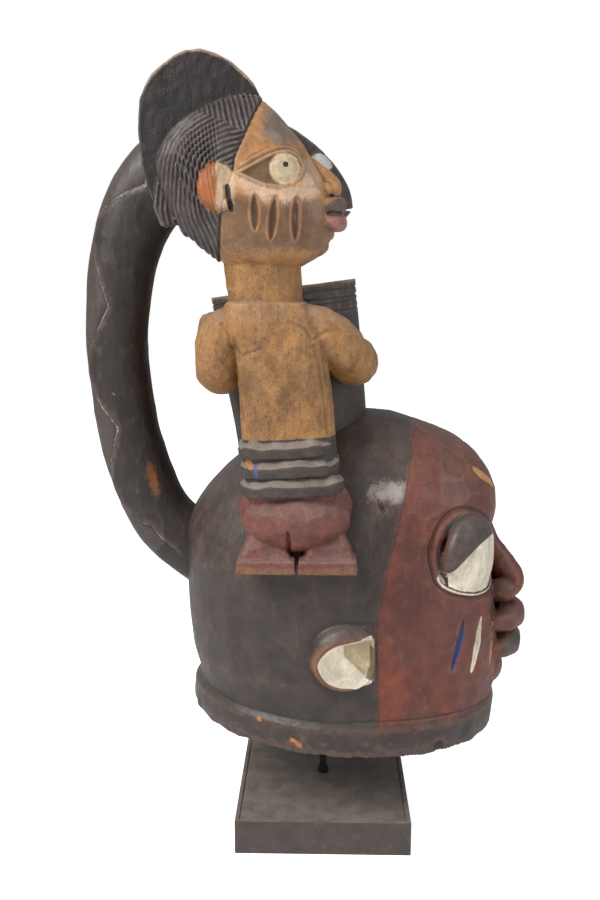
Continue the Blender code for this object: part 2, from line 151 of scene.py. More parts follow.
# The snake's middle line, and its half width and half depth along it.
SNAKE_ROUTE = (
    (-100, 0, 136), (-135, 0, 163), (-154, 0, 191), (-170, 0, 238), (-178, 0, 285), (-181, 0, 338),
    (-173, 0, 402), (-155, 0, 447), (-125, 0, 479), (-86, 0, 492), (-46, 0, 485), (-13, 0, 463),
    (18, 0, 436),
)
SNAKE_SIZES = (
    (0, 29, 27), (0.2, 27.5, 26), (0.4, 26.5, 25), (0.5, 29, 27), (0.6, 33, 28), (0.68, 33, 28),
    (0.8, 29, 27), (0.91, 27, 27), (0.96, 20, 22), (1, 8, 15),
)

# The figures.
FIGURE_MIDDLE = 92
HEAD_MIDDLE = 88
FAR_HEAD_SHIFT = -8
CREST_HALF = 8
CREST_OUTLINE = (
    (-49, 518), (-54, 528), (-62, 536), (-72, 544), (-82, 549), (-93, 552), (-104, 551), (-114, 547),
    (-122, 541), (-130, 534), (-135, 526), (-139, 517), (-140, 508), (-141, 494), (-140, 480),
    (-138, 465), (-134, 450), (-124, 424), (-96, 430), (-70, 480),
)
# Where hair gives way to skin on a figure's head: level, x. And where the crest's flat side begins.
FIGURE_HAIRLINE = ((396, -80), (430, -76), (462, -66), (470, -65), (486, -58), (510, -49), (516, -47))
CREST_BOUNDARY = (
    (-46, 517), (-60, 519), (-80, 514), (-98, 505), (-109, 497), (-119, 486), (-124, 470), (-128, 452),
    (-130, 436),
)
SCAR_LINES = (((-51, 444), (-51, 418)), ((-36, 443), (-40, 411)), ((-21, 443), (-22, 411)))

# The most triangles that each finished skin may have.
HELMET_TRIANGLES = 190000
BODY_TRIANGLES = 130000
HEAD_TRIANGLES = 170000
SNAKE_TRIANGLES = 120000


# Arithmetic


def mix(a, b, t):
    return a + (b - a) * t


def rise(value, low, high):
    """0 below low and 1 above high, smoothly between. Works on numbers and on arrays."""
    t = np.clip((value - low) / (high - low), 0.0, 1.0)
    return t * t * (3 - 2 * t)


def power(value, exponent):
    return math.copysign(abs(value) ** exponent, value)


def stations(rows, value):
    """The other columns of a table at this value of its first one, read along a smooth curve."""
    last = len(rows) - 1
    i = 0
    while i < last - 1 and value > rows[i + 1][0]:
        i += 1
    before, start, end, after = (rows[min(max(k, 0), last)] for k in (i - 1, i, i + 1, i + 2))
    span = end[0] - start[0]
    t = min(max((value - start[0]) / span, 0.0), 1.0)
    found = []
    for column in range(1, len(start)):
        slope_in = span * (end[column] - before[column]) / (end[0] - before[0])
        slope_out = span * (after[column] - start[column]) / (after[0] - start[0])
        found.append(
            (2 * t**3 - 3 * t**2 + 1) * start[column]
            + (t**3 - 2 * t**2 + t) * slope_in
            + (3 * t**2 - 2 * t**3) * end[column]
            + (t**3 - t**2) * slope_out
        )
    return found


def curve_point(points, t):
    """A point on the smooth curve through these points, with t from 0 to 1."""
    last = len(points) - 1
    place = min(max(t, 0.0), 1.0) * last
    i = min(int(place), last - 1)
    u = place - i
    a, b, c, d = (Vector(points[min(max(k, 0), last)]) for k in (i - 1, i, i + 1, i + 2))
    return 0.5 * (2 * b + (c - a) * u + (2 * a - 5 * b + 4 * c - d) * u**2 + (3 * b - a - 3 * c + d) * u**3)


def table_at(table, values):
    """The second column of a table at these values of its first, along straight lines."""
    return np.interp(values, [row[0] for row in table], [row[1] for row in table])


# Fields over points, for carving


def hashed(cells, seed):
    """A repeatable number from 0 to 1 for each cell of a lattice."""
    x, y, z = (cells[:, i].astype(np.int64).astype(np.uint32) for i in range(3))
    mixed = (x * np.uint32(73856093)) ^ (y * np.uint32(19349663)) ^ (z * np.uint32(83492791))
    mixed ^= np.uint32(seed * 7919 + 17)
    mixed ^= mixed >> np.uint32(13)
    mixed *= np.uint32(1540483477)
    mixed ^= mixed >> np.uint32(15)
    mixed *= np.uint32(2246822519)
    mixed ^= mixed >> np.uint32(13)
    return (mixed & np.uint32(0xFFFFFF)) / float(0xFFFFFF)


def wander(points, size, seed=0):
    """Smooth noise from -1 to 1, with bumps of this size."""
    lattice = points / size
    base = np.floor(lattice)
    part = lattice - base
    part = part * part * (3 - 2 * part)
    total = np.zeros(len(points))
    for corner in itertools.product((0, 1), repeat=3):
        weight = np.ones(len(points))
        for axis in range(3):
            weight *= part[:, axis] if corner[axis] else 1 - part[:, axis]
        total += weight * hashed(base + corner, seed)
    return total * 2 - 1


def from_cut_middles(points, size, seed=0):
    """The squared distance to the middle of the nearest of many scattered cuts."""
    lattice = points / size
    base = np.floor(lattice)
    nearest = np.full(len(points), 9.0)
    for offset in itertools.product((-1, 0, 1), repeat=3):
        cell = base + offset
        middle = cell + 0.15 + 0.7 * np.stack([hashed(cell, seed + k) for k in range(3)], axis=1)
        nearest = np.minimum(nearest, ((lattice - middle) ** 2).sum(axis=1))
    return nearest * np.mean(size) ** 2


def from_route(points, route):
    """Each point's distance from a line through these places, and how far along it, from 0 to 1."""
    route = np.array(route, dtype=float)
    nearest = np.full(len(points), 1e9)
    along = np.zeros(len(points))
    for i in range(len(route) - 1):
        step = route[i + 1] - route[i]
        t = np.clip((points - route[i]) @ step / (step @ step), 0.0, 1.0)
        away = np.linalg.norm(points - route[i] - t[:, None] * step, axis=1)
        closer = away < nearest
        nearest = np.where(closer, away, nearest)
        along = np.where(closer, (i + t) / (len(route) - 1), along)
    return nearest, along


def lens(points, route, half_width):
    """How far inside a lens-shaped mark along this line each point is. Negative outside."""
    away, along = from_route(points, route)
    return half_width * np.sqrt(np.clip(1 - (2 * along - 1) ** 2, 0.0, 1.0)) - away


def inside_outline(points, outline):
    """How far inside a closed flat outline each point is. Negative outside."""
    corners = np.array(outline, dtype=float)
    following = np.roll(corners, -1, axis=0)
    away, _ = from_route(points, np.vstack([corners, corners[:1]]))
    x, y = points[:, 0], points[:, 1]
    crossings = np.zeros(len(points), dtype=int)
    for (ax, ay), (bx, by) in zip(corners, following):
        if ay == by:
            continue
        spans = (ay > y) != (by > y)
        crossings += spans & (x < (bx - ax) * (y - ay) / (by - ay) + ax)
    return np.where(crossings % 2 == 1, away, -away)


def inside_where(chosen, points, outline):
    """The same for the chosen points only. The others are far outside."""
    found = np.full(len(points), -20.0)
    found[chosen] = inside_outline(points[chosen], outline)
    return found


def rounded(outline, steps=5):
    """A closed outline with more points, on the smooth curve through its corners."""
    corners = [Vector((*place, 0)) for place in outline]
    count = len(corners)
    found = []
    for i in range(count):
        near = [corners[(i + k) % count] for k in (-1, 0, 1, 2)]
        found += [curve_point(near, (1 + step / steps) / 3).to_tuple()[:2] for step in range(steps)]
    return found


# Forms to be fused into a skin


def shaped_ball(rings, sides, place):
    """A ball whose rings are put where place(ring, angle) says, from ring 0, the lowest, to the top.

    The two poles close the ends, at the mean of the ring beside them."""
    bm = bmesh.new()
    bmesh.ops.create_uvsphere(bm, u_segments=sides, v_segments=rings + 1, radius=1.0)
    beside_poles = {0: [], rings - 1: []}
    poles = []
    for vert in bm.verts:
        row = rings - round(math.acos(min(max(vert.co.z, -1.0), 1.0)) / math.pi * (rings + 1))
        if row in (-1, rings):
            poles.append((vert, 0 if row < 0 else rings - 1))
            continue
        vert.co = place(row, math.atan2(vert.co.y, vert.co.x))
        if row in beside_poles:
            beside_poles[row].append(vert.co.copy())
    for vert, row in poles:
        vert.co = sum(beside_poles[row], Vector()) / len(beside_poles[row])
    return bm


def turned(angles):
    """A rotation by these degrees about X, then Y, then Z."""
    about_x, about_y, about_z = (
        Matrix.Rotation(math.radians(angle), 4, axis) for angle, axis in zip(angles, "XYZ")
    )
    return about_z @ about_y @ about_x


def ball(centre, radii, turn=(0, 0, 0), sides=48, rings=31):
    """An ellipsoid, turned by these degrees about X, then Y, then Z."""
    bm = bmesh.new()
    bmesh.ops.create_uvsphere(bm, u_segments=sides, v_segments=rings + 1, radius=1.0)
    bmesh.ops.transform(
        bm,
        matrix=Matrix.Translation(centre) @ turned(turn) @ Matrix.Diagonal((*radii, 1.0)),
        verts=bm.verts,
    )
    return bm


def block(centre, size, taper=(1, 1), edge=6, turn=(0, 0, 0)):
    """A block with its upper face tapered and its edges rounded."""
    bm = bmesh.new()
    bmesh.ops.create_cube(bm, size=1.0)
    bmesh.ops.scale(bm, vec=size, verts=bm.verts)
    bmesh.ops.scale(bm, vec=(*taper, 1.0), verts=[v for v in bm.verts if v.co.z > 0])
    bmesh.ops.bevel(bm, geom=list(bm.edges), offset=edge, segments=4, affect="EDGES", profile=0.5,
                    material=-1)
    bmesh.ops.transform(bm, matrix=Matrix.Translation(centre) @ turned(turn), verts=bm.verts)
    return bm


def limb(points, sizes, rings=48, sides=40, up=(0, 1, 0), squareness=2.0):
    """A limb along a smooth curve. sizes gives, for t from 0 to 1, its half width and half depth."""

    def place(row, angle):
        t = row / (rings - 1)
        step = 0.02
        forward = (curve_point(points, t + step) - curve_point(points, t - step)).normalized()
        across = Vector(up).cross(forward).normalized()
        upward = forward.cross(across)
        half_width, half_depth = stations(sizes, t)
        return (
            curve_point(points, t)
            + across * (half_width * power(math.cos(angle), 2 / squareness))
            + upward * (half_depth * power(math.sin(angle), 2 / squareness))
        )

    return shaped_ball(rings, sides, place)


def plate(outline, middle, half):
    """An upright plate with this outline in x and z."""
    bm = bmesh.new()
    face = bm.faces.new([bm.verts.new((x, middle - half, z)) for x, z in outline])
    swept = bmesh.ops.extrude_face_region(bm, geom=[face])["geom"]
    moved = [item for item in swept if isinstance(item, bmesh.types.BMVert)]
    bmesh.ops.translate(bm, vec=(0, 2 * half, 0), verts=moved)
    bmesh.ops.recalc_face_normals(bm, faces=bm.faces)
    return bm


# Skins


class Skin:
    """The points of a mesh and the way they face, as arrays, so that it can be carved."""

    def __init__(self, mesh):
        self.mesh = mesh
        self.points = np.empty(len(mesh.vertices) * 3)
        mesh.vertices.foreach_get("co", self.points)
        self.points = self.points.reshape(-1, 3)
        self.edges = np.empty(len(mesh.edges) * 2, dtype=np.int32)
        mesh.edges.foreach_get("vertices", self.edges)
        self.edges = self.edges.reshape(-1, 2)
        self.neighbours = np.bincount(self.edges.ravel(), minlength=len(self.points)).clip(1)
        self.read_facing()

    def read_facing(self):
        self.facing = np.empty(self.points.size)
        self.mesh.vertices.foreach_get("normal", self.facing)
        self.facing = self.facing.reshape(-1, 3)

    def move(self, offset):
        self.points = self.points + offset
        self.mesh.vertices.foreach_set("co", self.points.ravel())
        self.mesh.update()
        self.read_facing()

    def push(self, height):
        """Raises the surface along its normals, or cuts it where height is negative."""
        self.move(self.facing * height[:, None])

    def average(self, values):
        """The mean of each point's neighbours, for one value a point or for rows of values."""
        if values.ndim > 1:
            return np.stack([self.average(values[:, i]) for i in range(values.shape[1])], axis=1)
        first, second = self.edges[:, 0], self.edges[:, 1]
        total = np.bincount(first, values[second], len(values))
        total += np.bincount(second, values[first], len(values))
        return total / self.neighbours

    def soften(self, mask, rounds):
        """Melts the surface where mask is near 1."""
        points = self.points
        for _ in range(rounds):
            points = points + (self.average(points) - points) * (0.6 * mask[:, None])
        self.move(points - self.points)

    def raised(self, rounds):
        """How far each point stands proud of the smoothed surface. Negative in hollows."""
        smooth = self.points
        for _ in range(rounds):
            smooth = self.average(smooth)
        return ((self.points - smooth) * self.facing).sum(axis=1)

    def facet(self, mask, size, bend, seed=0):
        """Flattens the surface into the marks of an adze. bend is what one mark takes off its middle."""
        chosen = np.flatnonzero(mask > 0.01)
        height = np.zeros(len(self.points))
        cuts = from_cut_middles(self.points[chosen], size, seed) / np.mean(size) ** 2
        height[chosen] = mask[chosen] * bend * (np.minimum(cuts, 0.6) - 0.25)
        self.push(height)

    def note(self, name, values):
        """Keeps one number a point in the mesh, for its material."""
        kept = self.mesh.attributes.new(name, "FLOAT", "POINT")
        kept.data.foreach_set("value", np.clip(values, -30, 30).astype(np.float32))


def coarser():
    """How much coarser the skins are fused than the settings say: not at all."""
    return 1.0


def evaluated_mesh(obj):
    made = bpy.data.meshes.new_from_object(obj.evaluated_get(bpy.context.evaluated_depsgraph_get()))
    old = obj.data
    bpy.data.objects.remove(obj)
    bpy.data.meshes.remove(old)
    return made


def linked_object(name, mesh):
    obj = bpy.data.objects.new(name, mesh)
    bpy.context.scene.collection.objects.link(obj)
    return obj


def largest_shell(mesh):
    """Drops every loose shell but the largest, such as a pocket that fusing leaves inside."""
    bm = bmesh.new()
    bm.from_mesh(mesh)
    unseen = set(bm.verts)
    shells = []
    while unseen:
        shell = [unseen.pop()]
        for vert in shell:
            for edge in vert.link_edges:
                other = edge.other_vert(vert)
                if other in unseen:
                    unseen.remove(other)
                    shell.append(other)
        shells.append(shell)
    shells.sort(key=len)
    bmesh.ops.delete(bm, geom=[vert for shell in shells[:-1] for vert in shell], context="VERTS")
    bm.to_mesh(mesh)
    bm.free()


def fuse(forms, voxel, softening=3):
    """One closed skin over overlapping forms."""
    whole = bmesh.new()
    for form in forms:
        bmesh.ops.recalc_face_normals(form, faces=form.faces)
        part = bpy.data.meshes.new("form")
        form.to_mesh(part)
        form.free()
        whole.from_mesh(part)
        bpy.data.meshes.remove(part)
    mesh = bpy.data.meshes.new("forms")
    whole.to_mesh(mesh)
    whole.free()
    obj = linked_object("forms", mesh)
    remesh = obj.modifiers.new("fuse", "REMESH")
    remesh.mode = "VOXEL"
    remesh.voxel_size = voxel * coarser()
    smooth = obj.modifiers.new("soften", "SMOOTH")
    smooth.factor = 0.5
    smooth.iterations = softening
    mesh = evaluated_mesh(obj)
    largest_shell(mesh)
    return Skin(mesh)


def thinned(skin, most_triangles):
    """The same skin with no more than this many triangles, taken away where it is flattest."""
    triangles = sum(len(face.vertices) - 2 for face in skin.mesh.polygons)
    if triangles <= most_triangles:
        return skin
    obj = linked_object("thinned", skin.mesh)
    fewer = obj.modifiers.new("thin", "DECIMATE")
    fewer.ratio = most_triangles / triangles
    return Skin(evaluated_mesh(obj))


def hang_piece(skin, name, material, node, lift=RIM_LEVEL, scale=UNIT):
    """Gives a finished skin its material and its place, in metres, and hides the part that it stands for."""
    mesh = skin.mesh
    mesh.transform(Matrix.Translation((0, 0, lift)) @ Matrix.Scale(scale, 4))
    mesh.shade_smooth()
    mesh.materials.clear()
    mesh.materials.append(material)
    mesh.name = name
    obj = linked_object(name, mesh)
    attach(obj, "root")
    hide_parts(node)
    return obj


# Shared paint and wood effects, as node groups


class Graph:
    """Adds nodes to a tree. A number or colour given for a socket becomes its fixed value."""

    def __init__(self, tree):
        self.tree = tree

    def add(self, kind, inputs=None, **settings):
        node = self.tree.nodes.new(kind)
        for name, value in settings.items():
            setattr(node, name, value)
        for socket, value in (inputs or {}).items():
            self.feed(node.inputs[socket], value)
        return node

    def feed(self, socket, value):
        if isinstance(value, bpy.types.NodeSocket):
            self.tree.links.new(value, socket)
        else:
            socket.default_value = value

    def math(self, operation, *values, clamp=False):
        node = self.add("ShaderNodeMath", dict(enumerate(values)), operation=operation, use_clamp=clamp)
        return node.outputs[0]

    def remap(self, value, low, high, to_low=0.0, to_high=1.0):
        node = self.add("ShaderNodeMapRange", {0: value, 1: low, 2: high, 3: to_low, 4: to_high},
                        interpolation_type="SMOOTHSTEP")
        return node.outputs[0]

    def mix(self, mask, first, second, blend="MIX"):
        node = self.add("ShaderNodeMix", {0: mask, 6: first, 7: second}, data_type="RGBA",
                        blend_type=blend)
        return node.outputs[2]

    def place(self, stretch=(1, 1, 1)):
        """Object coordinates, in metres, squeezed by these factors."""
        here = self.add("ShaderNodeTexCoord").outputs["Object"]
        return self.add("ShaderNodeVectorMath", {0: here, 1: stretch}, operation="MULTIPLY").outputs[0]

    def noise(self, place, scale, detail=3.0, roughness=0.55):
        node = self.add("ShaderNodeTexNoise", {"Vector": place, "Scale": scale, "Detail": detail,
                                               "Roughness": roughness})
        return node.outputs["Fac"]

    def attribute(self, name):
        return self.add("ShaderNodeAttribute", attribute_name=name).outputs["Fac"]


SOCKETS = {float: "NodeSocketFloat", tuple: "NodeSocketColor"}


def effect(name, inputs, outputs, build):
    """A node group. inputs names its sockets with their defaults, and outputs its masks and colours."""
    tree = bpy.data.node_groups.new(name, "ShaderNodeTree")
    for label, default in inputs.items():
        socket = tree.interface.new_socket(label, in_out="INPUT", socket_type=SOCKETS[type(default)])
        socket.default_value = default
    for label, kind in outputs.items():
        tree.interface.new_socket(label, in_out="OUTPUT", socket_type=SOCKETS[kind])
    graph = Graph(tree)
    given = graph.add("NodeGroupInput").outputs
    results = build(graph, given)
    graph.add("NodeGroupOutput", results)
    return tree


def build_paint_edge(graph, given):
    """Where a layer of paint lies: inside its outline, which is ragged as a brush leaves it."""
    place = graph.place()
    coarse = graph.math("SUBTRACT", graph.noise(place, 180.0), 0.5)
    fine = graph.math("SUBTRACT", graph.noise(place, 900.0, 2.0), 0.5)
    share = graph.math("DIVIDE", given["Distance"], given["Raggedness"])
    inside = graph.math("ADD", share, graph.math("ADD", coarse, fine))
    lost = graph.remap(graph.noise(place, 260.0, 5.0, 0.7), 0.66, 0.78)
    kept = graph.math("SUBTRACT", 1.0, graph.math("MULTIPLY", lost, given["Flaking"]))
    return {"Mask": graph.math("MULTIPLY", graph.remap(inside, -0.35, 0.35), kept)}


def build_old_paint(graph, given):
    """Paint that has aged unevenly: blotches, streaks down the grain and small specks."""
    blotches = graph.noise(graph.place(), 46.0, 6.0, 0.68)
    streaks = graph.noise(graph.place((1.0, 1.0, 0.3)), 230.0, 4.0, 0.6)
    specks = graph.noise(graph.place(), 1300.0, 2.0)
    light = graph.remap(blotches, 0.3, 0.7, -0.7, 0.7)
    light = graph.math("ADD", light, graph.remap(streaks, 0.3, 0.7, -0.2, 0.2))
    light = graph.math("ADD", light, graph.remap(specks, 0.3, 0.7, -0.25, 0.25))
    gain = graph.math("ADD", 1.0, graph.math("MULTIPLY", light, given["Unevenness"]))
    combined = graph.add("ShaderNodeCombineColor", {0: gain, 1: gain, 2: gain}).outputs[0]
    return {"Colour": graph.mix(1.0, given["Colour"], combined, "MULTIPLY"), "Streaks": streaks}


def build_rubbed_edges(graph, given):
    """Where hands have rubbed the paint: on what stands proud, in patches."""
    patches = graph.remap(graph.noise(graph.place(), 160.0, 5.0, 0.65), 0.35, 0.65, 0.15, 1.0)
    mask = graph.math("MULTIPLY", graph.remap(given["Raised"], 0.2, 0.9), patches)
    return {"Mask": graph.math("MULTIPLY", mask, given["Amount"], clamp=True)}


def build_dust_and_top_light(graph, given):
    """Pale powder that settles on what faces up, thicker in patches, and painted light on the upward faces.
    """
    facing = graph.add("ShaderNodeNewGeometry").outputs["Normal"]
    upward = graph.add("ShaderNodeSeparateXYZ", {0: facing}).outputs["Z"]
    patches = graph.noise(graph.place(), 60.0, 6.0, 0.7)
    mask = graph.math("MULTIPLY", graph.remap(upward, 0.1, 0.95), graph.remap(patches, 0.3, 0.7, 0.4, 1.0))
    return {"Mask": graph.math("MULTIPLY", mask, given["Amount"], clamp=True)}


def build_hollow_shade_and_grime(graph, given):
    """Painted shade in hollows and creases, and dark specks of soil in pits scattered over the surface."""
    pits = graph.remap(graph.noise(graph.place((1.0, 1.0, 0.6)), 480.0, 4.0, 0.65), 0.54, 0.74)
    hollows = graph.remap(graph.math("SUBTRACT", 0.0, given["Raised"]), 0.15, 0.8)
    mask = graph.math("MAXIMUM", hollows, graph.math("MULTIPLY", pits, given["Pitting"]))
    return {"Mask": graph.math("MULTIPLY", mask, given["Amount"], clamp=True)}


def build_tool_marks(graph, given):
    """The height of fine grain, brush marks and pits in the surface, from 0 to 1."""
    grain = graph.noise(graph.place((1.0, 1.0, 0.09)), 700.0, 4.0, 0.6)
    skin = graph.noise(graph.place(), 420.0, 5.0, 0.6)
    pits = graph.remap(graph.noise(graph.place(), 1500.0, 2.0), 0.62, 0.72)
    height = graph.math("ADD", graph.math("MULTIPLY", grain, given["Grain"]),
                        graph.math("MULTIPLY", skin, given["Skin"]))
    return {"Height": graph.math("SUBTRACT", height, graph.math("MULTIPLY", pits, given["Pits"]))}


def shared_effects():
    plain = (0.5, 0.5, 0.5, 1.0)
    rows = (
        ("Paint Edge", {"Distance": 0.0, "Raggedness": 1.0, "Flaking": 0.3}, {"Mask": float},
         build_paint_edge),
        ("Old Paint", {"Colour": plain, "Unevenness": 0.3}, {"Colour": tuple, "Streaks": float},
         build_old_paint),
        ("Rubbed Edges", {"Raised": 0.0, "Amount": 0.5}, {"Mask": float}, build_rubbed_edges),
        ("Dust And Top Light", {"Amount": 0.3}, {"Mask": float}, build_dust_and_top_light),
        ("Hollow Shade And Grime", {"Raised": 0.0, "Amount": 0.5, "Pitting": 0.3}, {"Mask": float}, build_hollow_shade_and_grime),
        ("Tool Marks", {"Grain": 0.5, "Skin": 0.4, "Pits": 0.4}, {"Height": float}, build_tool_marks),
    )
    return {name: effect(name, inputs, outputs, build) for name, inputs, outputs, build in rows}


def use_effect(graph, name, inputs):
    node = graph.add("ShaderNodeGroup", node_tree=bpy.data.node_groups[name])
    for socket, value in inputs.items():
        graph.feed(node.inputs[socket], value)
    return node.outputs


def painted_wood(name, base, layers, unevenness=0.3, rubbed=0.5, rubbed_to=None, dust_and_top_light=0.25, hollow_shade_and_grime=0.6,
                 pitting=0.3, gloss=0.52, grain=0.5, skin=0.5, relief=0.00035):
    """Old paint on carved wood. layers gives, from the lowest, the mesh attribute that holds how far
    inside each patch of colour a point is, in millimetres, its colour, its raggedness and its flaking."""
    made = bpy.data.materials.new(name)
    made.use_nodes = True
    graph = Graph(made.node_tree)
    shader = made.node_tree.nodes["Principled BSDF"]
    colour = base
    for attribute, paint, raggedness, flaking in layers:
        mask = use_effect(graph, "Paint Edge", {"Distance": graph.attribute(attribute),
                                                "Raggedness": raggedness, "Flaking": flaking})["Mask"]
        colour = graph.mix(mask, colour, paint)
    aged = use_effect(graph, "Old Paint", {"Colour": colour, "Unevenness": unevenness})
    raised = graph.attribute("raised")
    rubbing = use_effect(graph, "Rubbed Edges", {"Raised": raised, "Amount": rubbed})["Mask"]
    colour = graph.mix(rubbing, aged["Colour"], rubbed_to or WOOD)
    # Painted shade: darker in hollows and creases. The pits hold dark soil.
    shade_and_dirt = use_effect(graph, "Hollow Shade And Grime", {"Raised": raised, "Amount": hollow_shade_and_grime, "Pitting": pitting})["Mask"]
    colour = graph.mix(shade_and_dirt, colour, HOLLOW_SHADE_AND_GRIME)
    # Paler where the surface faces up: powder on it, and painted light.
    top_light_and_dust_mask = use_effect(graph, "Dust And Top Light", {"Amount": dust_and_top_light})["Mask"]
    colour = graph.mix(top_light_and_dust_mask, colour, DUST_AND_TOP_LIGHT)
    roughness = graph.math("ADD", gloss, graph.math("MULTIPLY", top_light_and_dust_mask, 0.25))
    roughness = graph.math("ADD", roughness, graph.remap(aged["Streaks"], 0.3, 0.7, -0.07, 0.07))
    height = use_effect(graph, "Tool Marks", {"Grain": grain, "Skin": skin, "Pits": 0.5})["Height"]
    bump = graph.add("ShaderNodeBump", {"Height": height, "Distance": relief, "Strength": 1.0})
    graph.feed(shader.inputs["Base Color"], colour)
    graph.feed(shader.inputs["Roughness"], roughness)
    graph.feed(shader.inputs["Normal"], bump.outputs["Normal"])
    return made


# The helmet


def section_point(level, angle, back, front, half):
    """A point of a helmet section: egg-shaped, and squarer at the face than at the nape or the rim."""
    centre = mix(back, front, SECTION_MIDDLE)
    faces_front = math.cos(angle) > 0
    reach = front - centre if faces_front else centre - back
    squareness = FACE_SQUARENESS if faces_front else NAPE_SQUARENESS
    squareness -= RIM_ROUNDING * (1 - rise(level, 0, RIM_ROUNDING_LEVEL))
    return (
        centre + reach * power(math.cos(angle), 2 / squareness),
        half * power(math.sin(angle), 2 / squareness),
    )


def section_angle(x, y):
    """The angle at which the rim's section passes through this place."""
    back, front, half = HELMET_SECTIONS[0][1:]
    centre = mix(back, front, SECTION_MIDDLE)
    reach = front - centre if x > centre else centre - back
    squareness = (FACE_SQUARENESS if x > centre else NAPE_SQUARENESS) - RIM_ROUNDING
    return math.atan2(power(y / half, squareness / 2), power((x - centre) / reach, squareness / 2))


def rim_flare(level, angle):
    """How far the flared rim stands out from the wall at this height."""
    reach = mix(RIM_FLARE_FRONT, RIM_FLARE_BACK, (1 - math.cos(angle)) / 2)
    return reach * rise(RIM_HEIGHT + 5 - level, 0, 9) * mix(1.0, 0.75, rise(12 - level, 0, 12))


def helmet_surface(level, angle, inset=0.0, flare=True):
    """A point of the helmet's wall. Near the rim the levels follow its slope."""
    back, front, half = stations(HELMET_SECTIONS, level)
    grow = (rim_flare(level, angle) if flare else 0.0) - inset
    x, y = section_point(level, angle, back - grow, front + grow, half + grow)
    sag = RIM_SAG * math.sin(angle) ** 2
    return Vector((x, y, level + (RIM_SLOPE * x - sag) * (1 - level / HELMET_TOP)))


def on_face(level, degrees, side, inset=0.0):
    """A point of the wall this many degrees round from the nose, and the way the wall faces there."""
    angle = math.radians(degrees) * side
    here = helmet_surface(level, angle, flare=False)
    along = helmet_surface(level, angle + 0.05 * side, flare=False) - here
    outward = Vector((along.y, -along.x, 0)).normalized() * side
    return here - outward * inset, math.degrees(math.atan2(outward.y, outward.x))


def cavity_point(level, angle):
    """A point of the hollow, which the wall's thickness parts from the outer surface."""
    point = helmet_surface(level, angle, inset=HELMET_WALL, flare=False)
    under_crown = rise(level, CROWN_CURVE_LEVEL, CAVITY_TOP_LEVEL)
    point.z = mix(point.z, level, under_crown) - HELMET_WALL * CROWN_DROP * under_crown
    return point


def helmet_form():
    levels = [(HELMET_TOP - 0.4) * (1 - (1 - i / (HELMET_RINGS - 1)) ** 1.5) for i in range(HELMET_RINGS)]
    return shaped_ball(HELMET_RINGS, HELMET_SIDES, lambda row, angle: helmet_surface(levels[row], angle))


def lip_forms(middle, spread, upper, lower, thickness):
    """Two full lips bent round the mouth: their corner's x, their front's x and their level."""
    forms = []
    for corner, front, level in (upper, lower):
        bend = mix(corner, front, 0.65)
        route = [(corner, middle - spread, level), (bend, middle - spread * 0.62, level),
                 (front, middle, level), (bend, middle + spread * 0.62, level),
                 (corner, middle + spread, level)]
        sizes = ((0, thickness * 0.4, thickness * 0.4), (0.25, thickness * 0.85, thickness * 0.85),
                 (0.5, thickness, thickness), (0.75, thickness * 0.85, thickness * 0.85),
                 (1, thickness * 0.4, thickness * 0.4))
        forms.append(limb(route, sizes, 40, 28, up=(0, 0, 1), squareness=2.3))
    return forms


def eye_frame(side):
    place, azimuth = on_face(EYE_LEVEL, EYE_DEGREES, side, inset=EYE_INSET)
    return place, (-side * EYE_TILT, EYE_LEAN, azimuth - side * EYE_TURN)


def helmet_forms():
    forms = [helmet_form()]
    nose = [(142, 0, 172), (150, 0, 150), (161, 0, 131), (167, 0, 118), (160, 0, 108)]
    forms.append(limb(nose, ((0, 6, 7), (0.35, 10, 10), (0.7, 13, 15), (0.85, 13, 18), (1, 9, 15)), 40, 32))
    forms += lip_forms(0, 38, (142, 170, 88), (142, 167, 63), 12)
    forms.append(ball((140, 0, 42), (22, 36, 20)))
    for side in (NEAR, FAR):
        forms.append(ball((157, side * 16, 112), (14, 10, 11)))
        place, turn = eye_frame(side)
        forms.append(ball(place, EYE_RADII, turn, 64, 41))
        ear = Vector((EAR_PLACE[0], side * EAR_PLACE[1], EAR_PLACE[2]))
        forms.append(ball(ear, EAR_RADII, (side * 8, 0, side * 4), 64, 41))
    return forms


def lined_with_cavity(mesh):
    """Takes the closed skin's sole away and carries its edge up into the hollow."""
    bm = bmesh.new()
    bm.from_mesh(mesh)
    sole = [face for face in bm.faces if face.normal.z < -0.5 and face.calc_center_median().z < 12]
    bmesh.ops.delete(bm, geom=sole, context="FACES")
    loose = [vert for vert in bm.verts if not vert.link_faces]
    bmesh.ops.delete(bm, geom=loose, context="VERTS")
    edge = [e for e in bm.edges if e.is_boundary]
    angles = {vert: section_angle(vert.co.x, vert.co.y) for e in edge for vert in e.verts}
    inner = [1.5, 6, 14] + [CAVITY_TOP_LEVEL * i / 14 for i in range(1, 14)] + [CAVITY_TOP_LEVEL - 0.5]
    for level in inner:
        grown = bmesh.ops.extrude_edge_only(bm, edges=edge)["geom"]
        edge = [item for item in grown if isinstance(item, bmesh.types.BMEdge) and item.is_boundary]
        verts = [item for item in grown if isinstance(item, bmesh.types.BMVert)]
        following = {}
        for vert in verts:
            before = next(e.other_vert(vert) for e in vert.link_edges if e.other_vert(vert) in angles)
            following[vert] = angles[before]
        for vert in verts:
            vert.co = cavity_point(level, following[vert])
        angles = following
    bmesh.ops.contextual_create(bm, geom=edge)
    bmesh.ops.recalc_face_normals(bm, faces=bm.faces)
    bm.to_mesh(mesh)
    bm.free()
    return mesh


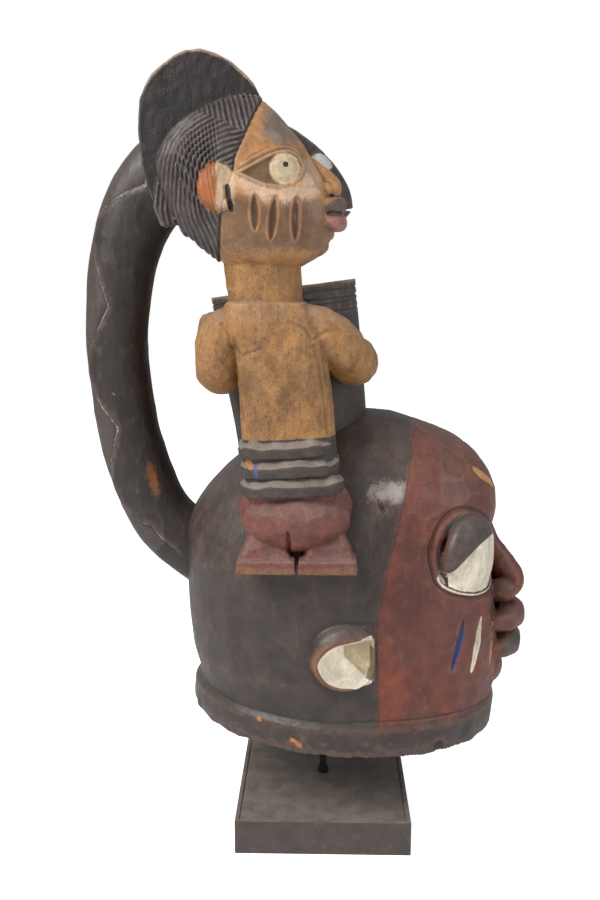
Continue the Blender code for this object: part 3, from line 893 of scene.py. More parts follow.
def eye_places(points):
    """Where points lie in the eye's own frame: how far inside its outline, how far above the line where
    its lid ends, in millimetres, and how much of them is the ball's back, behind the outline."""
    place, turn = eye_frame(FAR)
    frame_in = np.array((Matrix.Translation(place) @ turned(turn)).inverted())
    local = points @ frame_in[:3, :3].T + frame_in[:3, 3]
    along, up = -local[:, 1] / EYE_RADII[1], local[:, 2] / EYE_RADII[2]
    away = np.maximum(np.hypot(along, up), 0.01)
    unrolled = np.where((local[:, 0] < 0) & (away < 1), (2 - away) / away, 1)
    along, up = along * unrolled, up * unrolled
    near = np.hypot(along, up) < 1.8
    size = math.sqrt(EYE_RADII[1] * EYE_RADII[2])
    inside = inside_where(near, np.stack([along, up], axis=1) * size, [
        (a * size, b * size) for a, b in rounded(EYE_EDGE)])
    socket = (unrolled - 1) * rise(-inside, 0.2, 3.5)
    return inside, (up - 0.64 + 0.36 * (along + 0.4) ** 2) * EYE_RADII[2], socket


def bump_at(value, middle, half):
    """1 where value is middle, falling smoothly to 0 at half to each side."""
    return rise(half - np.abs(value - middle), 0, half)


def carve_helmet_eyes(skin, mirrored):
    """Raises each eye's lid over its sunken white, and cuts a groove round the whole."""
    inside, above_line, socket = eye_places(mirrored)
    skin.push(-7 * rise(socket, 0, 0.12))
    height = -2.4 * rise(-above_line, 0.3, 2.4) * rise(inside, 1.6, 3.6)
    height += 0.9 * rise(above_line, -0.6, 0.8) * rise(inside, 0, 2.5)
    height += 0.8 * bump_at(inside, 0.3, 1.9) - 1.7 * bump_at(inside, -2.9, 2.6)
    skin.push(height)


def ear_places(mirrored):
    """How far inside the ear's rim, its bowl, its fold and the painted shadow of its front edge points are.
    """
    flat = mirrored[:, [0, 2]]
    near = (mirrored[:, 1] > 90) & (np.hypot(flat[:, 0] - EAR_PLACE[0], flat[:, 1] - EAR_PLACE[2]) < 48)
    outlines = (rounded(EAR_RIM), rounded(EAR_BOWL), EAR_FOLD, EAR_FRONT_SHADOW)
    return [inside_where(near, flat, outline) for outline in outlines]


def carve_helmet_ears(skin, mirrored):
    """Cuts each ear into a bowl with a thick rim, open to the front, with a fold in it."""
    x, height, _ = mirrored.T
    rim, bowl, fold, _ = ear_places(mirrored)
    floor = 115 - 9.5 * rise(bowl, -1.2, 7) - 3.6 * rise(fold, -0.4, 1.8)
    shaped = height + 1.6 * rise(rim, 0, 4)
    shaped = np.where(bowl > -1.2, np.minimum(shaped, floor), shaped)
    opened = rise(x, 40, 42.5) * (rim > -9)
    shaped = mix(shaped, np.minimum(shaped, 104.2), opened)
    still = np.zeros_like(x)
    skin.move(np.stack([still, (shaped - height) * np.sign(skin.points[:, 1]), still], axis=1))


def outer_share(mirrored):
    """1 on the helmet's outside and on what stands out from it, and 0 in its hollow."""
    x, y, z = mirrored.T
    levels = [row[0] for row in HELMET_SECTIONS]
    back, front, half = (np.interp(z, levels, [row[k] for row in HELMET_SECTIONS]) for k in (1, 2, 3))
    centre = mix(back, front, SECTION_MIDDLE)
    reach = np.where(x > centre, front - centre, centre - back)
    share = np.abs((x - centre) / reach) ** 2.2 + np.abs(y / half) ** 2.2
    return np.maximum(rise(share, 0.80, 0.88), rise(z, 236, 240))


def both_sides(points):
    """The points with those of the near side laid over the far side."""
    return points * (1, 0, 1) + np.abs(points) * (0, 1, 0)


def flange_level(x):
    """The level of the flared rim's upper edge."""
    return RIM_HEIGHT - 0.03 * x + 1.5


def carve_helmet(skin):
    mirrored = both_sides(skin.points)
    x, _, z = mirrored.T
    outer = outer_share(mirrored)
    eye = eye_places(mirrored)[0]
    brow = rise(38 - np.linalg.norm(mirrored - BROW_PLACE, axis=1), 0, 14)
    chin = rise(44 - np.linalg.norm(mirrored - CHIN_PLACE, axis=1), 0, 16) * (z > 26)
    skin.soften(np.clip(brow + chin, 0, 1) * (eye < -4), 14)
    carve_helmet_ears(skin, mirrored)
    carve_helmet_eyes(skin, mirrored)
    face = x - table_at(HAIRLINE, z)
    flange = flange_level(x)
    red = np.minimum(face, z - flange)
    plain = outer * rise(-5 - eye, 0, 3) * rise(-2 - ear_places(mirrored)[0], 0, 3)
    skin.facet(plain * rise(red, 0, 4), 16, 2.0, seed=3)
    skin.facet(plain * rise(-red, 0, 4) * (z > 30), np.array((20, 20, 30)), 0.9, seed=5)
    height = -0.6 * bump_at(face, 0, 1.3) * (z > flange) * outer
    height -= 1.1 * bump_at(z - flange, 0, 1.8) * rise(x, 5, 40) * outer
    for mark, depth in ((BLUE_MARK, 2.4), (WHITE_MARK, 2.4), (OCHRE_MARK, 1.8)):
        height -= depth * rise(lens(mirrored, mark, MARK_CUT_HALF_WIDTH), 0, 2.4)
    mouth, _ = from_route(mirrored, MOUTH_LINE)
    height -= 3.5 * rise(3.2 - mouth, 0, 2.6)
    nostril = np.linalg.norm((mirrored - NOSTRIL_PLACE) / NOSTRIL_RADII, axis=1)
    height -= 3.0 * rise(1 - nostril, 0, 0.7)
    wing, _ = from_route(mirrored, NOSE_WING_LINE)
    height -= 1.4 * rise(3.0 - wing, 0, 2.6)
    gouge = lens(skin.points, CROWN_GOUGE, 2.4)
    height -= 2.2 * rise(gouge, 0, 1.5)
    notch = np.linalg.norm(skin.points - RIM_NOTCH, axis=1)
    height -= 3.0 * rise(7 - notch, 0, 5)
    edge = rise(flange - 8 - z, 0, 10) * outer
    height += edge * (0.9 * wander(skin.points, 9, 11) + 0.7 * wander(skin.points, 23, 12))
    height += outer * 0.35 * wander(skin.points, 28, 8)
    skin.push(height)


def note_helmet_paint(skin):
    mirrored = both_sides(skin.points)
    x, _, z = mirrored.T
    inside = 6 - 12 * outer_share(mirrored)
    face = x - table_at(HAIRLINE, z)
    flange = flange_level(x)
    eye, above_line, _ = eye_places(mirrored)
    ear, bowl, fold, step = ear_places(mirrored)
    lower_rim = np.minimum(1.0 - np.abs(eye), -above_line)
    white = np.maximum(np.minimum(eye - 2.6, -above_line - 0.3), lower_rim)
    white = np.maximum.reduce([white, np.minimum(bowl - 0.6, 39.5 - x), lens(mirrored, WHITE_MARK, 3.7)])
    lip = np.linalg.norm((mirrored - (166, 0, 62)) / (22, 42, 13.5), axis=1)
    dark = np.maximum(np.minimum(eye - 1, above_line + 0.4), (1 - lip) * 13)
    shadow_line = np.minimum.reduce([0.7 - np.abs(eye - 1.9), -above_line - 3, eye + 2])
    ochre = np.maximum(lens(mirrored, OCHRE_MARK, 3.0), lens(skin.points, OCHRE_WEAR, 4.6))
    ear_edge = np.minimum.reduce([0.6 - bowl, 5.4 - 0.11 * (x + 10) + bowl, ear])
    chips = [lens(skin.points, line, 2.4) for line in RIM_CHIPS]
    worn = 11 - np.linalg.norm((skin.points - CROWN_WEAR) / (1.45, 1.2, 0.72), axis=1)
    specks = [1.5 - np.linalg.norm(skin.points - place, axis=1) for place in BLUE_SPECKS]
    red = np.minimum(np.minimum(face, (z - flange) * 0.35 + 1), np.minimum(-inside, -ear - 1))
    warm = 5 * wander(skin.points * (1, 1, 0.6), 17, 92) - 2 + 4 * rise(face, 26, 2) * rise(110 - z, 0, 60)
    skin.note("red", red)
    skin.note("warm", np.minimum(warm, red))
    skin.note("dark", np.maximum(dark, shadow_line))
    skin.note("white", white)
    skin.note("recess", np.minimum(fold, bowl))
    # Painted shadow along the ear's open front edge.
    skin.note("step", np.minimum(step, bowl + 1))
    skin.note("ochre", ochre)
    skin.note("blue", np.maximum.reduce([lens(mirrored, BLUE_MARK, 3.4), *specks]))
    skin.note("worn", ear_edge)
    skin.note("bare", np.maximum(*chips))
    skin.note("chalky", worn)
    skin.note("inside", inside)
    calm = 1 - 0.85 * rise(np.maximum(white, np.minimum(fold, bowl)), -1.2, 0.6)
    skin.note("raised", np.clip(skin.raised(9) * 2.2, -0.6, 1) * calm)


# A kneeling figure's body


TORSO_ROWS = (
    (196, -24, 28, 18), (216, -25, 36, 26), (262, -28, 37, 26), (300, -31, 36, 26), (335, -35, 35, 27),
    (352, -42, 37, 26), (366, -46, 31, 22),
)
RING_LEVELS = ((255, -30, 36.2), (240, -27.5, 36.8), (225, -25, 38.2))
RINGS_BOTTOM = 217.5
RINGS_TOP = 262.5
LEFT_ARM = ((-50, 94, 352), (-77, 93, 343), (-84, 82, 319), (-85, 54, 309), (-95, 26, 331), (-97, 14, 352))
RIGHT_ARM = ((-28, 94, 351), (0, 93, 343), (16, 82, 327), (24, 56, 315), (30, 30, 318), (26, 12, 326))
ARM_SIZES = ((0, 15, 16), (0.25, 18, 18), (0.6, 18, 17), (0.85, 13, 12), (1, 8, 9))

# The folds of a body's back: x and level.
BACK_CREASE = ((-78, 350), (-73, 343), (-72, 334), (-63, 326), (-48, 332))
SIDE_CREASE = ((-8, 334), (-5, 320), (-1, 300), (3, 264))
SHOULDER_CREASE = ((-27, 352), (-15, 347), (-9, 338), (2, 345))


def torso_form(side):
    rings = 60

    def place(row, angle):
        level = mix(TORSO_ROWS[0][0], TORSO_ROWS[-1][0], row / (rings - 1))
        x, half_width, half_depth = stations(TORSO_ROWS, level)
        return Vector((
            x + half_width * power(math.cos(angle), 0.66),
            side * FIGURE_MIDDLE + half_depth * power(math.sin(angle), 0.62),
            level,
        ))

    return shaped_ball(rings, 72, place)


def ring_form(side, level, x, reach, seed):
    """A thick ring of the waist beads: a sloping ledge above, a broad edge, and cut in below."""
    profile = ((-7.6, -6), (-7.2, 0.6), (-6.2, 1.9), (0.6, 2.6), (1.8, 2.2), (6.6, -4.2), (7.4, -6))

    def place(row, angle):
        lift, grow = profile[row]
        chip = 0.8 * math.sin(5 * angle + seed) + 0.6 * math.sin(11 * angle + 2.3 * seed)
        half = reach + grow + 0.8 * chip
        across = half * power(math.cos(angle), 0.68)
        return Vector((
            x + across,
            side * FIGURE_MIDDLE + (half - 7) * power(math.sin(angle), 0.66),
            level + lift + 0.05 * across + (0.9 * chip if lift > 0 else 0.3 * chip),
        ))

    return shaped_ball(len(profile), 96, place)


def body_forms(side):
    middle = side * FIGURE_MIDDLE
    forms = [torso_form(side)]
    for route in (LEFT_ARM, RIGHT_ARM):
        forms.append(limb([(x, side * y, z) for x, y, z in route], ARM_SIZES, 56, 36, up=(0, 0, 1),
                          squareness=2.2))
    neck = side * HEAD_MIDDLE
    shift = FAR_HEAD_SHIFT if side == FAR else 0
    forms.append(limb([(-46, neck, 352), (-47 + shift / 2, neck, 378), (-50 + shift, neck, 412)],
                      ((0, 30, 25), (0.3, 28.5, 24), (1, 30, 25)), 30, 48))
    for seed, (level, x, reach) in enumerate(RING_LEVELS):
        forms.append(ring_form(side, level, x, reach, seed * 1.7 + 0.6))
    forms.append(ball((-22, side * 100, 195), (43, 31, 25)))
    for hand in (-1, 1):
        forms.append(ball((-22 + hand * 25, side * 78, 203), (22, 34, 22)))
        forms.append(block((-21 + hand * 24, side * 98, 163.5), (46.5, 62, 11), taper=(0.97, 0.98), edge=1.5))
        forms.append(block((-21 + hand * 25, side * 97, 178), (43, 59, 26), taper=(0.5, 0.62), edge=4))
    return [*forms, block((-21, middle - side * 6, 178), (56, 40, 34), edge=4)]


def note_body_places(skin, side):
    """Signed places that both carving and paint of a body need."""
    x, y, z = skin.points.T
    depth = (y * side - FIGURE_MIDDLE)
    waist = z - 0.05 * (x + 26)
    rings = np.minimum(waist - RINGS_BOTTOM, RINGS_TOP - waist)
    return x, depth, z, waist, rings


def carve_body(skin, side):
    x, depth, z, waist, rings = note_body_places(skin, side)
    flat = skin.points[:, [0, 2]]
    back = rise(depth, 4, 12)
    above = rise(waist, RINGS_TOP, RINGS_TOP + 4)
    below = rise(RINGS_BOTTOM - waist, 0, 4)
    arm = rise(z, 296, 304) * rise(np.hypot(x + 30, (z - 335) * 0.5), 36, 40)
    skin.facet(above * (1 - arm), np.array((15, 15, 40)), 1.7, seed=21)
    skin.facet(above * arm, 15, 1.9, seed=22)
    skin.facet(below * rise(z, 166, 172), np.array((12, 12, 12)), 2.4, seed=23)
    height = -1.1 * rise(2.4 - from_route(flat, BACK_CREASE)[0], 0, 2.2) * back * above
    height -= 1.0 * rise(2.2 - from_route(flat, SIDE_CREASE)[0], 0, 2.0) * back * above
    height -= 0.9 * rise(2.2 - from_route(flat, SHOULDER_CREASE)[0], 0, 2.0) * back * above
    cleft = lens(flat, ((-27.5, 194), (-27, 172)), 2.6)
    height -= 4.5 * rise(cleft, -0.5, 2.6) * rise(depth, 18, 26)
    height += (rings > 0) * (0.45 * wander(skin.points, 6, 31) + 0.35 * wander(skin.points, 13, 32))
    scratches = wander(skin.points * (1, 1, 0.12), 2.6, 33)
    height += above * 0.22 * scratches + 0.18 * wander(skin.points, 3.2, 34)
    skin.push(height)


def note_body_paint(skin, side):
    x, depth, z, waist, rings = note_body_places(skin, side)
    patina = 3.5 * wander(skin.points * (1, 1, 0.6), 8, 37) - 2.5
    patina += 3 * rise(depth, 6, 18) * rise(346 - z, 0, 24) * rise(z, 262, 280) * rise(8 - x, 0, 14)
    skin.note("patina", np.where(waist > RINGS_TOP, patina, -9))
    skin.note("dark", rings)
    # Painted light: the rings are paler grey where they face up.
    skin.note("ledge", np.minimum(rings, (skin.facing[:, 2] - 0.42) * 7))
    skin.note("red", RINGS_BOTTOM - waist)
    sole = np.minimum(164.5 + 0.8 * wander(skin.points, 9, 35) - z + 2.5 * wander(skin.points, 22, 36), 4)
    skin.note("bare", sole)
    chip = lens(skin.points[:, [0, 2]], ((-60, 247), (-56, 239)), 2.4)
    skin.note("orange", np.where((depth > 18) & (side == NEAR), chip, -9))
    streak = lens(skin.points[:, [0, 2]], ((-53, 248), (-52, 232)), 1.3)
    skin.note("blue", np.where(depth > 18, streak, -9))
    skin.note("raised", np.clip(skin.raised(8) * 2.4, -0.3, np.where(waist > RINGS_TOP, 1, 0.38)))


# A figure's head


HEAD_ROWS = (
    (393, -74, -20, 20), (397, -80, -11, 28), (403, -88, -4, 34), (411, -98, 3, 38), (424, -110, 8, 42),
    (440, -119, 6, 45), (458, -125, -2, 46), (470, -127, -9, 45.5), (484, -122, -17, 42),
    (497, -111, -28, 35), (507, -96, -37, 26), (515, -80, -46, 15),
)

# The region that isn't the crest's flat side, and the line that the hair's grooves follow.
CREST_BOUNDARY_AREA = (*CREST_BOUNDARY, (-120, 410), (-60, 380), (40, 380), (40, 517))
HAIR_FLOW = (*CREST_BOUNDARY, (-126, 416), (-118, 396))
HAIR_SPACING = 3.9

# The eye and the ear, in x and level. The eyeball's last number is its radius, and the ear's radii are
# those of the patch that its paint covers.
EYE_OUTLINE = (
    (-61, 459), (-51, 464.5), (-42, 469.5), (-34, 473.5), (-26, 474.5), (-20, 471.5), (-17, 465),
    (-18.5, 457.5), (-24, 452.5), (-33, 450.5), (-43, 451.5), (-52, 455),
)
EYEBALL = (-29.5, 462.3, 11)
BROW_LINE = ((-60, 464), (-51, 470), (-42, 475), (-33, 478.5), (-25, 478), (-19, 474.5))
HEAD_EAR = (-78, 449)
HEAD_EAR_PAINT_RADII = (14, 17)
EAR_SLOT = ((-70.5, 449), (-69.5, 441), (-68, 433))
SCAR_HALF_WIDTH = 3.6


def head_form(middle, shift):
    rings = 90

    def place(row, angle):
        level = mix(HEAD_ROWS[0][0], HEAD_ROWS[-1][0], row / (rings - 1))
        back, front, half = stations(HEAD_ROWS, level)
        return Vector((
            shift + (back + front) / 2 + (front - back) / 2 * power(math.cos(angle), 0.88),
            middle + half * power(math.sin(angle), 0.86),
            level,
        ))

    return shaped_ball(rings, 96, place)


def head_forms(side, shift):
    middle = side * HEAD_MIDDLE
    forms = [head_form(middle, shift)]
    forms.append(plate([(x + shift, z) for x, z in CREST_OUTLINE], middle, CREST_HALF))
    nose = [(x + shift, middle, z) for x, z in ((-15, 474), (-6, 466), (2, 458), (3.5, 452), (-2, 447))]
    forms.append(limb(nose, ((0, 3.5, 4), (0.45, 6, 6), (0.7, 9, 9), (0.85, 9, 10), (1, 6, 8)), 30, 24))
    forms += lip_forms(middle, 24, (-5 + shift, 9.5 + shift, 438.5), (-5 + shift, 10 + shift, 426), 6.8)
    forms.append(ball((-14 + shift, middle, 409), (17, 19, 10)))
    for hand in (-1, 1):
        forms.append(ball((-1 + shift, middle + hand * 8.5, 450), (7, 5.5, 6)))
        forms.append(ball((-29 + shift, middle + hand * 33, 463), (15, 10, 13), (0, 0, hand * -28)))
        forms.append(ball((HEAD_EAR[0] + shift, middle + hand * 43, HEAD_EAR[1]), (13, 10, 17),
                          (0, -12, hand * -6)))
    return forms


def head_places(skin, side, shift):
    """A head's points as seen from its side: x and level, and how far from its middle plane."""
    x, y, z = skin.points.T
    return x - shift, np.abs(y - side * HEAD_MIDDLE), z


def hair_edge(x, z):
    """How far behind the hairline a point is."""
    return table_at(FIGURE_HAIRLINE, z) - x


def head_regions(skin, side, shift):
    x, width, z = head_places(skin, side, shift)
    flat = np.stack([x, z], axis=1)
    crest = np.where(width < CREST_HALF + 1.2, rise(-inside_outline(flat, CREST_BOUNDARY_AREA), 0, 1), 0)
    ear = 16 * (1 - np.hypot((x - HEAD_EAR[0]) / HEAD_EAR_PAINT_RADII[0],
                             (z - HEAD_EAR[1]) / HEAD_EAR_PAINT_RADII[1]))
    ear = np.where(width > 34, ear, -9)
    return x, width, z, flat, crest, ear


def carve_head(skin, side, shift):
    x, width, z, flat, crest, ear = head_regions(skin, side, shift)
    hair = hair_edge(x, z)
    hair_mask = rise(hair, 0, 1.2) * (1 - crest) * rise(-ear, 0, 1.5)
    skin.soften(rise(16 - np.linalg.norm(np.stack([x + 10, width, z - 470], 1), axis=1), 0, 6), 8)
    skin.push(1.5 * hair_mask)
    x, width, z, flat, crest, ear = head_regions(skin, side, shift)
    wavy = 0.7 * wander(skin.points, 16, 41) + 0.25 * wander(skin.points, 5, 42)
    sweep = from_route(flat, HAIR_FLOW)[0] + wavy
    upright = x + 0.3 * (z - 500) + 0.7 * wavy
    fronted = z + 0.55 * (x + 60) + 4 * wander(skin.points, 8, 48) > 488
    lines = np.sin(np.where(fronted, upright, sweep) * 2 * math.pi / HAIR_SPACING)
    cut = np.clip(0.5 - lines, 0, 2) ** 0.8
    strokes = wander(skin.points * (1, 0.6, 0.35), 5.5, 49)
    deep = 1.1 + 0.7 * wander(skin.points, 15, 43) + 0.55 * strokes
    skin.push(-0.9 * hair_mask * cut * np.clip(deep, 0.1, 2.2))
    face = rise(-hair, 0, 2) * (1 - crest)
    around_eye = np.hypot((x + 36) / 27, (z - 462) / 19)
    plain = face * rise(around_eye, 0.95, 1.1) * rise(width, 14, 22) * rise(-ear, 0, 2)
    skin.facet(plain, 11, 0.8, seed=44)
    carve_head_eyes(skin, side, shift)
    carve_head_ears(skin, side, shift)
    x, width, z = head_places(skin, side, shift)
    flat = np.stack([x, z], axis=1)
    height = -0.9 * bump_at(hair_edge(x, z), 0, 1.1) * (1 - crest)
    for line in SCAR_LINES:
        inner = lens(flat, line, SCAR_HALF_WIDTH)
        height += (0.55 * bump_at(inner, -0.3, 1.2) - 1.8 * rise(inner, 0.2, 2.4)) * (width > 20)
    mouth, _ = from_route(np.stack([x, width, z], 1), [(-4, 25, 431.5), (9, 16, 432), (18, 0, 432)])
    height -= 2.2 * rise(1.9 - mouth, 0, 1.5)
    nostril = np.linalg.norm(np.stack([(x - 3) / 4, (width - 8) / 3.4, (z - 445.5) / 2.6], 1), axis=1)
    height -= 1.8 * rise(1 - nostril, 0, 0.7)
    wing, _ = from_route(np.stack([x, width, z], 1), [(-6, 15, 457), (-9, 17, 450), (-4, 15, 444)])
    height -= 1.0 * rise(2.0 - wing, 0, 1.8)
    height += crest * (0.22 * wander(skin.points, 5, 45) + 0.3 * wander(skin.points * (1, 1, 0.3), 9, 46))
    height += face * 0.12 * wander(skin.points * (1, 1, 0.25), 2.4, 47)
    skin.push(height)


def carve_head_eyes(skin, side, shift):
    x, width, z = head_places(skin, side, shift)
    flat = np.stack([x, z], axis=1)
    sided = rise(width, 12, 18)
    inside = inside_outline(flat, EYE_OUTLINE)
    ball_away = np.hypot(x - EYEBALL[0], z - EYEBALL[1]) / EYEBALL[2]
    height = 0.8 * bump_at(inside, -0.8, 1.5)
    height -= 1.6 * rise(inside, 0, 1.8)
    height += 1.7 * rise(1 - ball_away, 0, 0.45) * rise(inside, -0.2, 0.8)
    height += 0.8 * bump_at(from_route(flat, BROW_LINE)[0], 0, 1.6)
    skin.push(height * sided)


def carve_head_ears(skin, side, shift):
    """Hollows the front half of each ear and cuts the slot before its tragus."""
    x, width, z = head_places(skin, side, shift)
    hollow = 12 * (1 - np.hypot((x + 73) / 8, (z - 450) / 14))
    slot, _ = from_route(np.stack([x, z], 1), EAR_SLOT)
    cut = 2.6 * rise(hollow, -0.5, 5) + 2.4 * rise(2.3 - slot, 0, 1.8)
    streaks = 0.5 * np.sin((x + 0.15 * z) * 2.2) * rise(-76 - x, 0, 3) * rise(z, 425, 440)
    skin.push((streaks - cut) * (width > 36))


def note_head_paint(skin, side, shift):
    x, width, z, flat, crest, ear = head_regions(skin, side, shift)
    hair = np.minimum(hair_edge(x, z), 8 - 16 * crest)
    crest_in = 8 - 16 * (1 - crest)
    edge = inside_outline(flat, CREST_OUTLINE)
    top = np.minimum.reduce([crest_in, 1.6 - edge + 1.0 * wander(skin.points, 12, 51), (z - 524) * 0.2])
    eye = np.where(width > 14, inside_outline(flat, EYE_OUTLINE), -9)
    ball_in = EYEBALL[2] - np.hypot(x - EYEBALL[0], z - EYEBALL[1])
    pupil = 2.1 - np.hypot(x + 28.5, z - 465)
    band = np.maximum(lens(flat, ((-65, 457), (-46, 446), (-24, 444), (-4, 448)), 7.0),
                      8 - np.hypot(x + 12, (z - 458) * 0.7))
    lips = np.linalg.norm(np.stack([(x - 5) / 15, width / 27, (z - 432) / 14.5], 1), axis=1)
    upper = np.minimum((1 - lips) * 14, z - 432)
    lower = np.minimum((1 - lips) * 14, 432 - z)
    mouth = x + 4 - 0.1 * width
    slot, _ = from_route(flat, EAR_SLOT)
    cheek = 5 * wander(skin.points, 19, 52) + np.clip((443 - z) * 0.7, -9, 5) - 5 * rise(410 - z, 0, 9)
    brow = 13 - np.hypot((x + 33) * 0.9, z - 494) + 3 * wander(skin.points, 11, 53)
    skin.note("hair", np.minimum(hair, -ear + 0.5))
    skin.note("crest", crest_in)
    skin.note("crest_top", top)
    skin.note("patina", cheek)
    skin.note("brow_grey", np.where(z > 478, brow, -9))
    skin.note("white", np.minimum(eye, ball_in))
    skin.note("shade", np.minimum(eye, -ball_in))
    skin.note("lid", np.where(width > 14, 0.8 - np.abs(eye + 0.9), -9))
    skin.note("pupil", np.where(width > 14, pupil, -9))
    skin.note("blush", np.where(width > 6, np.minimum(band, -eye), -9))
    skin.note("upper_lip", np.minimum(upper, mouth))
    skin.note("lower_lip", np.minimum(lower, mouth))
    skin.note("scar", np.where(width > 20, np.maximum.reduce([
        0.9 - np.abs(lens(flat, line, SCAR_HALF_WIDTH) + 0.1) for line in SCAR_LINES]), -9))
    skin.note("bare", np.minimum(ear + 1, -78.5 - x + 2 * wander(skin.points, 6, 54)))
    skin.note("ear_white", np.minimum(ear, x + 80 + 2 * wander(skin.points, 6, 54)))
    # Painted shade: the cut slot before the tragus is painted near black.
    skin.note("slot", np.where(width > 36, np.minimum(1.9 - slot, ear + 2), -9))
    calm = 1 - 0.8 * rise(np.maximum(eye, ear), -1.5, 1)
    skin.note("raised", np.clip(skin.raised(8) * 2.6, -0.55, 1) * calm)


# The snake and the drum


SNAKE_STATIONS = 360
SNAKE_GIRTH_RADIUS = 28
SNAKE_MOUTH_LEVEL = 440.5
ZIGZAG_TIPS = ((0.12, 36), (0.20, 9), (0.285, 40), (0.37, 9), (0.445, 40), (0.53, 9), (0.61, 42),
               (0.69, 10), (0.77, 40), (0.84, 8), (0.90, 12))


def snake_forms():
    forms = [limb(SNAKE_ROUTE, SNAKE_SIZES, 200, 56, squareness=2.25)]
    forms.append(limb([(-14, 0, 366), (-12, 0, 395), (-10, 0, 428)],
                      ((0, 9, 10), (0.5, 8.5, 9), (1, 11, 11)), 24, 24, squareness=2.8))
    return forms


def along_snake(points):
    """How far along the snake each point is, from 0 to 1, and how far outwards from its middle line."""
    line = np.array([curve_point(SNAKE_ROUTE, i / SNAKE_STATIONS) for i in range(SNAKE_STATIONS + 1)])
    flat = points[:, [0, 2]]
    nearest = np.full(len(points), 1e9)
    found = np.zeros(len(points), dtype=int)
    for i, place in enumerate(line):
        away = ((flat - place[[0, 2]]) ** 2).sum(axis=1)
        closer = away < nearest
        nearest = np.where(closer, away, nearest)
        found = np.where(closer, i, found)
    ahead = line[np.minimum(found + 1, SNAKE_STATIONS)] - line[np.maximum(found - 1, 0)]
    outward = np.stack([-ahead[:, 2], ahead[:, 0]], axis=1)
    outward /= np.linalg.norm(outward, axis=1)[:, None]
    return found / SNAKE_STATIONS, ((flat - line[found][:, [0, 2]]) * outward).sum(axis=1)


def carve_snake(skin):
    y = np.abs(skin.points[:, 1])
    along, outward = along_snake(skin.points)
    girth = np.arctan2(y, outward) * SNAKE_GIRTH_RADIUS
    zigzag = table_at(ZIGZAG_TIPS, along) + 0.8 * wander(skin.points, 7, 61)
    body = rise(along, 0.04, 0.08) * rise(0.93 - along, 0, 0.03)
    ramp = np.clip(girth / np.maximum(zigzag, 4), 0, 1)
    height = -4.0 * ramp**1.6 * rise(zigzag - girth, -0.5, 0.9) * rise(girth, 0, 6) * body
    skin.push(height)
    skin.facet(body, np.array((16, 16, 30)), 1.1, seed=62)
    x, z = skin.points[:, 0], skin.points[:, 2]
    level = SNAKE_MOUTH_LEVEL + 0.12 * (x - 14)
    mouth = rise(1.5 - np.abs(z - level), 0, 1.2) * rise(x, 10, 14)
    still = np.zeros_like(x)
    skin.move(np.stack([-13 * mouth * rise(x, 8, 26), still, still], axis=1))
    height = 0.3 * wander(skin.points, 16, 63) + 0.12 * wander(skin.points * (1, 1, 0.4), 3, 64)
    eye = np.linalg.norm((np.stack([x, y, z], 1) - (-4, 18, 478)) / (11, 14, 9), axis=1)
    height += 1.0 * bump_at(eye, 1.0, 0.22)
    skin.push(height)


def note_snake_paint(skin):
    x, y, z = skin.points.T
    along, outward = along_snake(skin.points)
    girth = np.arctan2(np.abs(y), outward) * SNAKE_GIRTH_RADIUS
    zigzag = table_at(ZIGZAG_TIPS, along)
    eye = np.linalg.norm(np.stack([(x + 4) / 10, (np.abs(y) - 18) / 12, (z - 478) / 8], 1), axis=1)
    line = lens(skin.points, ((-152, -22, 226), (-145, -24, 196)), 4.0)
    wisp = lens(skin.points, ((-154, -24, 193), (-138, -22, 186)), 1.1)
    flecks = [np.linalg.norm(skin.points - place, axis=1) for place in ((-141, -26, 396), (-181, -24, 286))]
    edge = 0.9 - np.abs(zigzag - girth)
    body = (along > 0.08) & (along < 0.9)
    skin.note("white", (1 - eye) * 9)
    skin.note("bare", line + 1.5 * wander(skin.points * (1, 1, 0.2), 3, 65))
    skin.note("pale", np.maximum.reduce([wisp, 1.6 - flecks[0], 2.0 - flecks[1]]))
    skin.note("chalk_line", np.where(body, edge, -9))
    # Painted light: the zigzag's cut planes are painted lighter than the snake's paint.
    skin.note("facet", np.where(body, zigzag - girth, -9))
    skin.note("raised", np.clip(skin.raised(8) * 2.2, -0.6, 1))


def drum_skin():
    """A leaning drum turned round its axis, with its rim and its flat skin."""
    foot, top = Vector(DRUM_FOOT), Vector(DRUM_TOP)
    axis = top - foot
    across = Vector((0, 1, 0)).cross(axis).normalized()
    rows, sides, rows_over_top = 150, 220, 14
    wall_rows = rows - rows_over_top

    def place(row, angle):
        t = min(row / wall_rows, 1.0)
        radius = mix(DRUM_FOOT_RADIUS, DRUM_TOP_RADIUS, t)
        over = max(row - wall_rows, 0) / (rows_over_top - 1)
        if over:
            radius = mix(radius - 1.2, 3, over**0.8)
        rim = across * (radius * math.cos(angle)) + Vector((0, radius * math.sin(angle), 0))
        return foot + axis * t + rim - axis.normalized() * (0.8 * over)

    bm = shaped_ball(rows, sides, place)
    bmesh.ops.recalc_face_normals(bm, faces=bm.faces)
    mesh = bpy.data.meshes.new("drum")
    bm.to_mesh(mesh)
    bm.free()
    return Skin(mesh), foot, axis


def along_drum(points, foot, axis):
    unit = np.array(axis.normalized())
    return (points - np.array(foot)) @ unit / axis.length


